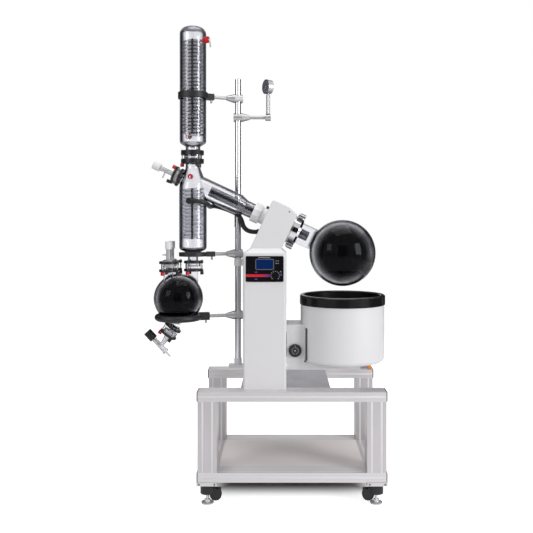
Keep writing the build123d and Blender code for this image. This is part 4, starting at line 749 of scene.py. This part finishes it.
@dataclass(frozen=True)
class Layout:
    """Main axes and heights, in metres."""

    axis_y: float
    flask_x: float = 0.3345
    flask_z: float = 1.040
    flask_r: float = 0.143
    tilt: float = 25.0
    cond_x: float = -0.3113
    recv_x: float = -0.374
    recv_z: float = 0.844
    recv_r: float = 0.1055
    col_x: float = 0.001
    col_front: float = 0.095
    small_joint: float = 0.9835
    big_joint: float = 1.4545

    @property
    def along(self) -> Vector:
        """Direction down the flask axis."""
        return Vector((cos(radians(self.tilt)), 0, -sin(radians(self.tilt))))

    @property
    def above(self) -> Vector:
        """Direction square to the flask axis, upwards."""
        return Vector((sin(radians(self.tilt)), 0, cos(radians(self.tilt))))


@dataclass(frozen=True)
class CoilPack:
    """Coils of one condenser: height of the first turn, number of turns, radius and finishes."""

    label: str
    low: float
    turns: int
    radius: float
    outer: Finish
    heart: Finish


@dataclass
class Condensers:
    """Wound glass coils and the return tubes of both condensers, with painted shade darkening the return
    tubes and the upper coils.
    """

    place: Layout
    pitch: float = 0.0155
    tube: float = 0.0050
    sides: int = 10
    steps: int = 28
    inner_in: float = 0.0125
    core_in: float = 0.0185
    return_r: float = 0.0026
    return_stretch: float = 1.7
    return_at: tuple[float, float] = (0.003, 0.0028)
    # Painted shade: the upper pack has the darker coil and a near-black heart, the lower pack a light coil
    # and heart.
    packs: tuple[CoilPack, ...] = (
        CoilPack("upper", 1.551, 26, 0.0405, DIM_COIL, DARK_TUBE),
        CoilPack("lower", 1.100, 14, 0.0435, COIL, COIL),
    )

    def coil(self, name: str, low: float, turns: int, radius: float) -> Piece:
        """Wind the tube about the condenser axis.

        Args:
            name: Name of the coil.
            low: Height of its first turn.
            turns: Number of turns.
            radius: Radius at the tube's middle.

        Returns:
            The wound coil in its condenser.
        """
        Bench.clear()
        bpy.ops.mesh.primitive_circle_add(
            vertices=self.sides, radius=self.tube, location=(radius, 0, low), rotation=(pi / 2, 0, 0)
        )
        piece = Bench.fresh(name)
        screw = piece.modifiers.new("wind", "SCREW")
        screw.screw_offset = self.pitch
        screw.iterations = turns
        screw.steps = screw.render_steps = self.steps
        bpy.ops.object.modifier_apply(modifier=screw.name)
        Bench.edit(piece)
        bpy.ops.mesh.select_all(action="DESELECT")
        bpy.ops.mesh.select_non_manifold()
        bpy.ops.mesh.edge_face_add()
        bpy.ops.mesh.select_all(action="SELECT")
        bpy.ops.mesh.normals_make_consistent(inside=False)
        Bench.close()
        return Bench.place(piece, self.middle)

    @property
    def middle(self) -> Matrix:
        """Place of the condenser axis."""
        return Matrix.Translation((self.place.cond_x, self.place.axis_y, 0))

    def build(self, shop: Workshop) -> None:
        """Wind and fit both coil packs."""
        side, gap = self.return_at
        for pack in self.packs:
            low, high = pack.low, pack.low + pack.turns * self.pitch
            outer = self.coil(f"wound_{pack.label}_coil", low, pack.turns, pack.radius)
            shop.fit(outer, Body.BASE, pack.outer, f"{pack.label}_coil")
            inner = self.coil("inner", low + self.pitch / 2, pack.turns - 1, pack.radius - self.inner_in)
            core = Bench.place(Bench.rod("core", pack.radius - self.core_in, low, high, 32), self.middle)
            shop.fit_joined(f"{pack.label}_coil_heart", [inner, core], Body.BASE, pack.heart)
            tube = Bench.rod(f"{pack.label}_return_tube", self.return_r, low, high, 16)
            spot = self.middle @ Matrix.Translation((side, -(pack.radius + self.tube + gap), 0))
            stretch = Matrix.Diagonal((self.return_stretch, 1.0, 1.0, 1.0))
            shop.fit(Bench.place(tube, spot @ stretch), Body.BASE, DARK_TUBE)


@dataclass(frozen=True)
class FlangeJoint:
    """One flange joint: two clamp rings on three studs."""

    origin: Vector
    up: Vector
    ahead: Vector
    gap: float
    ring_h: float
    ring_r: float
    tube_r: float
    turn: float
    stud_in: float = 0.006

    def level(self, height: float) -> Matrix:
        """Place on the joint's axis at a height along it, turned to its first stud."""
        turn = Matrix.Rotation(radians(self.turn), 4, "Z")
        return stand(self.origin, self.up, self.ahead) @ Matrix.Translation((0, 0, height)) @ turn

    def spot(self, height: float, number: int) -> Matrix:
        """Place of a stud's axis at a height along the joint."""
        angle, reach = radians(self.turn + 120 * number), self.ring_r - self.stud_in
        shift = Matrix.Translation((reach * cos(angle), reach * sin(angle), height))
        return stand(self.origin, self.up, self.ahead) @ shift


@dataclass
class JointSet:
    """Clamp rings, studs, gaskets and knobs of all flange joints, and the caps of the coolant ports."""

    place: Layout
    knob_h: float = 0.014
    knob_sink: float = 0.0007
    red_knob_r: float = 0.0085
    dark_knob_r: float = 0.0075
    ear: float = 0.0085
    edge: float = 0.0012
    bore_gap: float = 0.0005
    ring_in: float = 0.0055
    stud_r: float = 0.003
    nut: Outline = ((0, 0), (0.0052, 0), (0.0052, 0.003), (0.0043, 0.0042), (0, 0.0042))
    gasket_h: float = 0.0011
    gasket_span: tuple[float, float] = (-0.003, 0.0066)
    gasket_lip: float = 0.0009
    cap_h: float = 0.022
    cap_out: float = 0.008
    barb_r: float = 0.0034
    feed_at: float = -0.787
    drain_tilt: float = 34.0
    drain_reach: float = 0.049
    port_r: float = 0.060
    port_turn: float = 127.0

    def joints(self) -> list[FlangeJoint]:
        """List the machine's flange joints."""
        p = self.place
        axis = Vector((p.cond_x, p.axis_y, 0))
        z_up, x_up = Vector((0, 0, 1)), Vector((1, 0, 0))
        tilt, angle = radians(self.drain_tilt), radians(self.port_turn)
        drain = Vector((-sin(tilt), 0, -cos(tilt)))
        bottom = Vector((p.recv_x - 0.005, p.axis_y, p.recv_z - p.recv_r + 0.004))
        drain_at = bottom + drain * self.drain_reach
        feed = Vector((p.flask_x, p.axis_y, p.flask_z)) + p.along * self.feed_at
        # After its place and directions: gap, height and radius of the rings, radius of the tube, turn.
        made = [
            FlangeJoint(axis + z_up * p.big_joint, z_up, x_up, 0.017, 0.0195, 0.0525, 0.0315, 180),
            FlangeJoint(axis + z_up * p.small_joint, z_up, x_up, 0.024, 0.0105, 0.0445, 0.022, -120),
            FlangeJoint(feed, p.along, p.above, 0.014, 0.010, 0.0445, 0.026, 40),
            FlangeJoint(drain_at, -drain, drain.cross(Vector((0, 1, 0))), 0.026, 0.010, 0.0425, 0.018, 180),
        ]
        for side in (-self.port_r, self.port_r):
            port = Vector((p.recv_x + self.port_r * cos(angle), p.axis_y + side * sin(angle), p.small_joint))
            made.append(FlangeJoint(port, z_up, x_up, 0.024, 0.0105, 0.0445, 0.020, -120))
        return made

    def ring(self, joint: FlangeJoint) -> Piece:
        """Model one clamp ring of a joint with an ear at each stud, standing on the origin.

        Args:
            joint: The joint.

        Returns:
            The ring.
        """
        inner, outer, high = joint.tube_r + self.bore_gap, joint.ring_r - self.ring_in, joint.ring_h

        def rim(radius: float) -> list[tuple[float, float]]:
            """Outer side of a disc with its edges cut."""
            low, top = self.edge, high - self.edge
            return [(radius - self.edge, 0), (radius, low), (radius, top), (radius - self.edge, high)]

        parts = [Bench.lathe("ring", [(inner, 0), *rim(outer), (inner, high), (inner, 0)], 48)]
        reach = joint.ring_r - self.ear
        for number in range(3):
            ear = Bench.lathe("ear", [(0, 0), *rim(self.ear), (0, high)], 20)
            angle = radians(120 * number)
            parts.append(Bench.place(ear, Matrix.Translation((reach * cos(angle), reach * sin(angle), 0))))
        return Bench.join(*parts)

    def build(self, shop: Workshop) -> None:
        """Model and fit the joints and the caps."""
        black, metal, white, red_spots, dark_spots = [], [], [], [], []
        knob = Bench.fluted("red_joint_knobs", self.red_knob_r, self.knob_h, 8, self.knob_sink)
        dark = Bench.fluted("joint_knobs", self.dark_knob_r, self.knob_h, 8, self.knob_sink)
        for joint in self.joints():
            half, below = joint.gap / 2, -joint.gap / 2 - joint.ring_h
            black.append(Bench.copies(self.ring(joint), [joint.level(half), joint.level(below)]))
            for k in range(3):
                stud = Bench.rod("stud", self.stud_r, 0, joint.gap, 12)
                metal.append(Bench.place(stud, joint.spot(-half, k)))
                metal.append(Bench.place(Bench.lathe("nut", self.nut, 6), joint.spot(half + joint.ring_h, k)))
                (dark_spots if k else red_spots).append(joint.spot(below - self.knob_h, k))
            bore, seat = (joint.tube_r + step for step in self.gasket_span)
            high = self.gasket_h
            lip = (seat + self.gasket_lip, 0)
            gasket = [(bore, -high), (seat, -high), lip, (seat, high), (bore, high), (bore, -high)]
            white.append(Bench.place(Bench.lathe("gasket", gasket, 48), joint.level(0)))
        black.append(Bench.copies(dark, dark_spots))
        shop.fit_joined("clamp_rings", black, Body.BASE, BLACK, "flange_clamps")
        shop.fit_joined("joint_studs", metal, Body.BASE, STEEL)
        shop.fit_joined("joint_gaskets", white, Body.BASE, WHITE)
        red = [Bench.copies(knob, red_spots), *self.caps(shop)]
        shop.fit_joined("red_knobs_and_caps", red, Body.BASE, RED, "red_caps")

    def caps(self, shop: Workshop) -> list[Piece]:
        """Model the screwed caps of the coolant ports, and fit their bent hose barbs.

        Args:
            shop: The workshop that fits the barbs.

        Returns:
            The caps.
        """
        # Height, direction, radius of the glass, radius of the cap and drop of the barb.
        ports = (
            (1.112, 122.0, 0.059, 0.011, -0.012), (1.366, -92.0, 0.047, 0.011, -0.012),
            (1.553, 113.0, 0.057, 0.014, -0.012), (1.950, -35.0, 0.057, 0.014, -0.034),
        )
        caps, barbs = [], []
        for height, azimuth, wall, radius, drop in ports:
            out = Vector((cos(radians(azimuth)), sin(radians(azimuth)), 0))
            start = Vector((self.place.cond_x, self.place.axis_y, height)) + out * (wall + self.cap_out)
            cap = Bench.fluted("cap", radius, self.cap_h, 12, 0.0008)
            caps.append(Bench.place(cap, stand(start, out, (0, 0, 1))))
            tip = start + out * self.cap_h
            bend = tip + out * 0.007 + Vector((0, 0, -0.001))
            end = tip + out * 0.012 + Vector((0, 0, drop))
            barbs.append(Bench.pipe("barb", [tip - out * 0.002, tip + out * 0.002, bend, end], self.barb_r))
        shop.fit_joined("coolant_barbs", barbs, Body.BASE, STEEL)
        return caps


@dataclass
class Panel:
    """Print, screen frame and marks of the control panel."""

    place: Layout
    width: float = 0.158
    mid_z: float = 0.9765
    thick: float = 0.003
    proud: float = 0.0004
    print_edge: float = 0.0001
    stripe_z: float = -0.0275
    stripe_h: float = 0.0115
    stripe_right: float = 0.024
    screen_z: float = 0.0195
    knob_x: float = 0.044
    scale_r: float = 0.0178
    scale_ticks: int = 11

    def spot(self, x: float, z: float) -> Vector:
        """Middle of a print on the panel's face, given from the panel's middle."""
        face = self.place.axis_y - self.place.col_front - self.thick
        return Vector((self.place.col_x + x, face - self.proud / 2, self.mid_z + z))

    def plate(self, name: str, x: float, z: float, wide: float, high: float) -> Piece:
        """Thin printed area on the panel's face, given from the panel's middle."""
        return Bench.block(name, (wide, self.proud, high), self.spot(x, z), self.print_edge)

    def stripe_material(self) -> Material:
        """Red print that turns violet towards the knob."""
        made, net, shader = new_material("stripe_print")
        split = net.add("SeparateXYZ", {0: net.place()})
        middle = self.place.col_x
        along = net.spread(split.outputs["X"], middle - self.width / 2, middle + self.stripe_right)
        color = net.ramp(along, ((0.55, (0.62, 0.012, 0.03)), (1.0, (0.14, 0.012, 0.16))))
        net.feed(shader, {"Base Color": color, "Roughness": 0.3})
        return made

    def ticks(self) -> list[Piece]:
        """Scale round the knob."""
        spot = Matrix.Translation(self.spot(self.knob_x, self.stripe_z))
        made = []
        for number in range(self.scale_ticks):
            tick = Bench.block("tick", (0.0042, self.proud, 0.0018), (self.scale_r, 0, 0), self.print_edge)
            made.append(Bench.place(tick, spot @ Matrix.Rotation(-radians(225 - 27 * number), 4, "Y")))
        return made

    def build(self, shop: Workshop) -> None:
        """Model and fit the panel's print."""
        left, right = -self.width / 2 + 0.001, self.stripe_right
        stripe = self.plate("panel_stripe", (left + right) / 2, self.stripe_z, right - left, self.stripe_h)
        shop.fit(stripe, Body.BASE, RED)
        stripe.data.materials[0] = self.stripe_material()
        sides = (-1, 1)
        violets = [
            *(self.plate("violet", -0.036, self.stripe_z + side * 0.0145, 0.010, 0.0035) for side in sides),
            self.plate("violet", 0.069, -0.0235, 0.004, 0.010),
        ]
        shop.fit_joined("panel_violet_marks", violets, Body.BASE, VIOLET)
        bars = [self.plate("bar", 0, self.screen_z + side * 0.0215, 0.078, 0.003) for side in sides]
        bars += [self.plate("bar", side * 0.0375, self.screen_z, 0.003, 0.046) for side in sides]
        shop.fit_joined("screen_frame", bars, Body.BASE, FRAME_GREY)
        signs = self.ticks()
        for number in range(4):
            x, z = 0.048 + 0.009 * (number % 2), 0.034 - 0.010 * (number // 2)
            signs.append(self.plate("sign", x, z, 0.0036, 0.0018))
        signs.append(self.plate("sign", -0.002, 0.0475, 0.050, 0.0012))
        signs.append(self.plate("sign", 0.067, -0.011, 0.003, 0.003))
        shop.fit_joined("panel_signs", signs, Body.BASE, MARK)


@dataclass
class FrameTrim:
    """Slot covers of the profiles, screws of the caster plates and the housing, and a strip of painted shadow
    by the box.
    """

    place: Layout
    cover: float = 0.0078
    deep: float = 0.0015
    sunk: float = 0.0004
    pitch: float = 0.040
    leg: float = 0.080
    rail_gap: float = 0.0005
    screw_in: tuple[float, float] = (0.010, 0.074)
    screw: Outline = ((0, -0.002), (0.0036, -0.002), (0.0036, 0.0006), (0.0020, 0.001), (0.0020, 0), (0, 0))
    housing_screw: tuple[float, float] = (0.1053, 1.2165)
    housing_front: float = 0.075

    def faces(self, low: Vector, high: Vector, run: int) -> list[Piece]:
        """Slot covers on the four long faces of one profile.

        Args:
            low: Lowest corner of the profile.
            high: Highest corner of the profile.
            run: Axis along the profile.

        Returns:
            The covers.
        """
        covers = []
        for face in (axis for axis in range(3) if axis != run):
            across = 3 - run - face
            count = max(1, round((high[across] - low[across]) / self.pitch))
            size = Vector((self.cover, self.cover, self.cover))
            size[run], size[face] = high[run] - low[run], self.deep
            for side, edge in ((-1, low), (1, high)):
                for number in range(count):
                    spot = (low + high) / 2
                    spot[face] = edge[face] - side * (self.sunk + self.deep / 2)
                    spot[across] += (number - (count - 1) / 2) * self.pitch
                    covers.append(Bench.block("cover", size, spot, 0.0002))
        return covers

    def profiles(self) -> Iterable[tuple[Vector, Vector, int]]:
        """Corners and direction of every profile, from the boxes of the frame's nodes."""
        wide = self.leg
        for name in ("top_rails", "bottom_rails"):
            low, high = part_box(name)
            yield low, Vector((high.x, low.y + wide, high.z)), 0
            yield Vector((low.x, high.y - wide, low.z)), high, 0
        leg_low, leg_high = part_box("legs")
        for x in (leg_low.x, leg_high.x - wide):
            for y in (leg_low.y, leg_high.y - wide):
                yield Vector((x, y, leg_low.z)), Vector((x + wide, y + wide, leg_high.z)), 2
            start = Vector((x, low.y + wide + self.rail_gap, low.z))
            yield start, Vector((x + wide, high.y - wide - self.rail_gap, high.z)), 1

    def build(self, shop: Workshop) -> None:
        """Model and fit the covers, the screws and the painted shadow strip."""
        covers = [cover for profile in self.profiles() for cover in self.faces(*profile)]
        shop.fit_joined("slot_covers", covers, Body.BASE, STRIP)
        low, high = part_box("caster_plates")
        near, far = self.screw_in
        places = (low.x + near, low.x + far, high.x - far, high.x - near)
        seats = [(1.0, (x, low.y, (low.z + high.z) / 2)) for x in places]
        x, z = self.housing_screw
        seats.append((0.8, (x, self.place.axis_y - self.housing_front, z)))
        screws = []
        for scale, seat in seats:
            head = Bench.lathe("screw", [(radius * scale, height) for radius, height in self.screw], 20)
            screws.append(Bench.place(head, stand(seat, (0, -1, 0))))
        shop.fit_joined("dark_screws", screws, Body.BASE, DARK_STEEL)
        self.corner_shadow(shop)

    @staticmethod
    def corner_shadow(shop: Workshop) -> None:
        """Model and fit a dark strip of painted shadow in the corner between the bath and its side box."""
        low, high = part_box("bath_shell")
        box_low, box_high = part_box("bath_control_box")
        middle, radius = (low + high) / 2, (high.x - low.x) / 2
        corner = middle.x - (radius ** 2 - (middle.y - box_low.y) ** 2) ** 0.5
        tall = (box_high.z - box_low.z) * 0.86
        at = (corner + 0.0060, box_low.y - 0.0140, (box_low.z + box_high.z) / 2)
        shop.fit(Bench.block("box_corner_shadow", (0.006, 0.022, tall), at, 0.0012), Body.LIFT, PAINTED_SHADOW_STRIP)


@dataclass
class Dials:
    """Faces of the vacuum gauge and of the temperature dial."""

    place: Layout
    gauge: Point = (0.012, 0.070, 1.772)
    gauge_turn: float = 60.0
    gauge_r: float = 0.0275
    gauge_deep: float = 0.0107
    ring_r: tuple[float, float] = (0.0105, 0.0165)

    def ticks(self, radius: float, count: int, size: Point, start: float, sweep: float) -> list[Piece]:
        """Short bars about an upright axis.

        Args:
            radius: Radius of their middles.
            count: Their number.
            size: Size of one bar, its length first.
            start: Angle of the first bar.
            sweep: Angle that they spread over.

        Returns:
            The bars.
        """
        bars = []
        for number in range(count):
            turn = radians(start + sweep * number / (count - 1))
            bar = Bench.block("tick", size, (radius, 0, size[2] / 2), 0.0001)
            bars.append(Bench.place(bar, Matrix.Rotation(turn, 4, "Z")))
        return bars

    def gauge_face(self, shop: Workshop) -> None:
        """Face, scale and needle of the gauge."""
        turn, radius = radians(self.gauge_turn), self.gauge_r
        look = Vector((-sin(turn), -cos(turn), 0))
        middle = Vector((self.gauge[0], self.place.axis_y + self.gauge[1], self.gauge[2]))
        seat = stand(middle + look * self.gauge_deep, look, (0, 0, 1))
        face = Bench.rod("gauge_face", radius, 0.0, 0.0004, 48)
        shop.fit(Bench.place(face, seat), Body.BASE, DIAL_FACE)
        marks = self.ticks(radius * 0.84, 21, (0.0032, 0.0006, 0.0006), -225, 270)
        marks += self.ticks(radius * 0.80, 6, (0.0052, 0.0011, 0.0006), -225, 270)
        needle = Bench.block("needle", (0.021, 0.0012, 0.0010), (0.007, 0, 0.0006), 0.0002)
        marks.append(Bench.place(needle, Matrix.Rotation(radians(140), 4, "Z")))
        marks.append(Bench.rod("hub", 0.0024, 0.0, 0.0014, 20))
        shop.fit_joined("gauge_scale", [Bench.place(mark, seat) for mark in marks], Body.BASE, MARK)

    def temperature_face(self, shop: Workshop) -> None:
        """Grey ring, pointer and scale on the temperature dial."""
        low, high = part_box("temperature_dial")
        seat = stand(((low.x + high.x) / 2, low.y, (low.z + high.z) / 2), (0, -1, 0), (0, 0, 1))
        inner, outer = self.ring_r
        outline = [(inner, -0.0005), (outer, -0.0005), (outer, 0.0002), (inner, 0.0002)]
        shop.fit(Bench.place(Bench.lathe("dial_ring", outline, 48), seat), Body.DIAL, DIAL_RING)
        marks = self.ticks((inner + outer) / 2, 9, (0.0024, 0.0013, 0.0003), -150, 300)
        marks.append(Bench.block("pointer", (0.006, 0.0012, 0.0003), (0.020, 0, 0.0001), 0.0001))
        marks.append(Bench.rod("cap", 0.0024, -0.0004, 0.0002, 24))
        shop.fit_joined("dial_marks", [Bench.place(mark, seat) for mark in marks], Body.DIAL, MARK)

    def build(self, shop: Workshop) -> None:
        """Model and fit the faces."""
        self.gauge_face(shop)
        self.temperature_face(shop)


@dataclass
class Hose:
    """Vacuum hose between the drive housing and the lower condenser."""

    place: Layout
    radius: float = 0.010

    def build(self, shop: Workshop) -> None:
        y = self.place.axis_y
        route = [
            (-0.037, y + 0.050, 1.130), (-0.069, y + 0.050, 1.130), (-0.096, y + 0.046, 1.150),
            (-0.103, y + 0.044, 1.184), (-0.123, y + 0.0435, 1.210), (-0.175, y + 0.054, 1.232),
            (-0.225, y + 0.048, 1.246), (-0.239, y - 0.004, 1.238), (-0.241, y - 0.056, 1.250),
            (-0.269, y - 0.08187, 1.262), (-0.293, y - 0.08187, 1.262),
        ]
        hose = Bench.line("vacuum_tubing", route, self.radius, 6)
        hose.data.resolution_u = 16
        shop.fit(hose, Body.BASE, RUBBER, "vacuum_hose")


@dataclass
class Studio:
    """Floor, light, cards and camera."""

    place: Layout
    floor_side: float = 14.0
    # Painted shadow: where and how deep the floor's colour darkens under the frame.
    shade_x: tuple[float, float] = (0.27, 0.42)
    shade_y: tuple[float, float] = (0.16, 0.31)
    shade_back: float = 0.14
    shade_tone: float = 0.3
    floor_color: Color = (0.78, 0.78, 0.79)
    floor_white: float = 0.75
    floor_mirrored: float = 0.3
    world_level: float = 0.42
    world_mirrored: float = 0.55
    card_color: Color = (0.02, 0.02, 0.024)
    focal: float = 691.0
    sensor: float = 36.0
    shift: tuple[float, float] = (-15.5, -42.5)
    eye: Point = (0.0737, -2.990, 1.165)

    @staticmethod
    def seen(net: Net) -> tuple[Socket, Socket]:
        """Whether the camera or glass sees the surface, and whether a mirror does."""
        path = net.add("LightPath").outputs
        return net.math("MAXIMUM", path["Is Camera Ray"], path["Is Transmission Ray"]), path["Is Glossy Ray"]

    def floor_material(self) -> Material:
        """Pale matte floor, white to the camera and through glass, with a painted shadow under the frame that
        darkens its colour and takes its white glow away.
        """
        made, net, shader = new_material("pale_floor")
        size = net.add("VectorMath", {0: net.place()}, operation="ABSOLUTE")
        axes = net.add("SeparateXYZ", {0: size.outputs[0]}).outputs
        open_x = net.spread(axes[0], *self.shade_x, "SMOOTHSTEP")
        open_floor = net.math("MAXIMUM", open_x, net.spread(axes[1], *self.shade_y, "SMOOTHSTEP"))
        # Painted shadow: the floor's colour under the frame, shade_tone times its own colour.
        shaded = (*(self.shade_tone * level for level in self.floor_color), 1)
        direct, mirrored = self.seen(net)
        share = net.math("MULTIPLY_ADD", mirrored, self.floor_mirrored, direct)
        white = net.math("MULTIPLY", open_floor, self.floor_white)
        net.feed(shader, {
            "Base Color": net.mix(open_floor, shaded, (*self.floor_color, 1)), "Roughness": 0.9,
            "Specular IOR Level": 0.0, "Emission Color": (1, 1, 1, 1),
            "Emission Strength": net.math("MULTIPLY", share, white),
        })
        return made

    def world(self) -> None:
        """Set a soft grey surround that shows as white to the camera and through glass."""
        world = bpy.data.worlds.new("surround")
        bpy.context.scene.world = world
        world.use_nodes = True
        net = Net(world.node_tree)
        direct, mirrored = self.seen(net)
        share = net.math("MAXIMUM", direct, net.math("MULTIPLY", mirrored, self.world_mirrored))
        level = net.add("MapRange", {"Value": share, "To Min": self.world_level, "To Max": 1.0})
        back = world.node_tree.nodes["Background"]
        net.feed(back, {"Color": (1, 1, 1, 1), "Strength": level.outputs["Result"]})

    def lamp(self, name: str, at: Point, aim: Point, size: tuple[float, float], power: float) -> None:
        """Hang one soft lamp.

        Args:
            name: Name of the lamp.
            at: Its place.
            aim: The point that it faces.
            size: Its width and height.
            power: Its power in watts.
        """
        data = bpy.data.lights.new(name, "AREA")
        data.shape = "RECTANGLE"
        data.size, data.size_y = size
        data.energy = power
        lamp = bpy.data.objects.new(name, data)
        bpy.context.scene.collection.objects.link(lamp)
        lamp.location = at
        lamp.rotation_euler = (Vector(aim) - Vector(at)).to_track_quat("-Z", "Y").to_euler()

    def card(
        self, name: str, at: Point, wide: float, high: float, turn: float, mirrored: bool = False
    ) -> None:
        """Stand a dark card beyond every view, for the dark lines in chrome and at the edges of glass.

        Args:
            name: Name of the card.
            at: Its middle.
            wide: Its width.
            high: Its height.
            turn: Its turn about the vertical, in degrees.
            mirrored: Whether only reflections show it.
        """
        Bench.clear()
        bpy.ops.mesh.primitive_plane_add(size=1, location=at, rotation=(pi / 2, 0, radians(turn)))
        card = bpy.context.active_object
        card.name = name
        card.scale = (wide, high, 1)
        card.visible_camera = card.visible_shadow = card.visible_diffuse = False
        card.visible_transmission = not mirrored
        made, net, shader = new_material(name)
        net.feed(shader, {"Base Color": (*self.card_color, 1), "Specular IOR Level": 0.0})
        card.data.materials.append(made)

    def camera(self) -> None:
        """Stand the camera where the photograph was taken from."""
        view = bpy.data.cameras.new("camera")
        camera = bpy.data.objects.new("camera", view)
        bpy.context.scene.collection.objects.link(camera)
        x, y, z = self.eye
        camera.location = (x, self.place.axis_y + y, z)
        camera.rotation_euler = (pi / 2, 0, 0)
        view.sensor_width = self.sensor
        view.lens = self.focal / PHOTO_SIDE * self.sensor
        view.shift_x, view.shift_y = (points / PHOTO_SIDE for points in self.shift)
        bpy.context.scene.camera = camera

    def build(self) -> None:
        """Set up the floor, the surround, the lamps, the cards and the camera."""
        Bench.clear()
        low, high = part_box("top_rails")
        at = ((low.x + high.x) / 2, (low.y + high.y) / 2 + self.shade_back, 0)
        bpy.ops.mesh.primitive_plane_add(size=self.floor_side, location=at)
        floor = bpy.context.active_object
        floor.name = "floor"
        floor.data.materials.append(self.floor_material())
        self.world()
        self.lamp("key", (3.1, -2.3, 1.9), (0, 0, 0.8), (1.2, 2.2), 80)
        self.lamp("fill", (-2.8, -2.5, 2.4), (0, 0, 1.0), (1.2, 1.6), 26)
        self.lamp("top", (0.2, -0.3, 3.9), (0.1, 0, 0.8), (2.4, 1.8), 44)
        self.card("left_card", (-3.4, 0.6, 1.6), 3.6, 4.4, 90)
        self.card("right_card", (3.4, 0.6, 1.6), 3.6, 4.4, 90)
        self.card("left_back_card", (-2.3, 3.6, 1.6), 2.9, 4.4, 28, True)
        self.card("right_back_card", (2.3, 3.6, 1.6), 2.9, 4.4, -28, True)
        self.card("front_card", (0.0, -5.4, 1.8), 3.2, 4.2, 0)
        self.camera()


def main() -> None:
    """Load the frame, dress it and build every new piece in order."""
    logging.basicConfig(level=logging.INFO, format="%(message)s")
    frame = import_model()
    low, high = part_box("evaporating_flask")
    place = Layout(axis_y=(low.y + high.y) / 2)
    Studio(place).build()
    shop = Workshop(Effects())
    Hose(place).build(shop)
    shop.dress_nodes(frame["nodes"], place)
    for part in (Condensers(place), JointSet(place), Panel(place), FrameTrim(place), Dials(place)):
        part.build(shop)
    bpy.context.scene.view_settings.view_transform = "Standard"


if __name__ == "__main__":
    main()
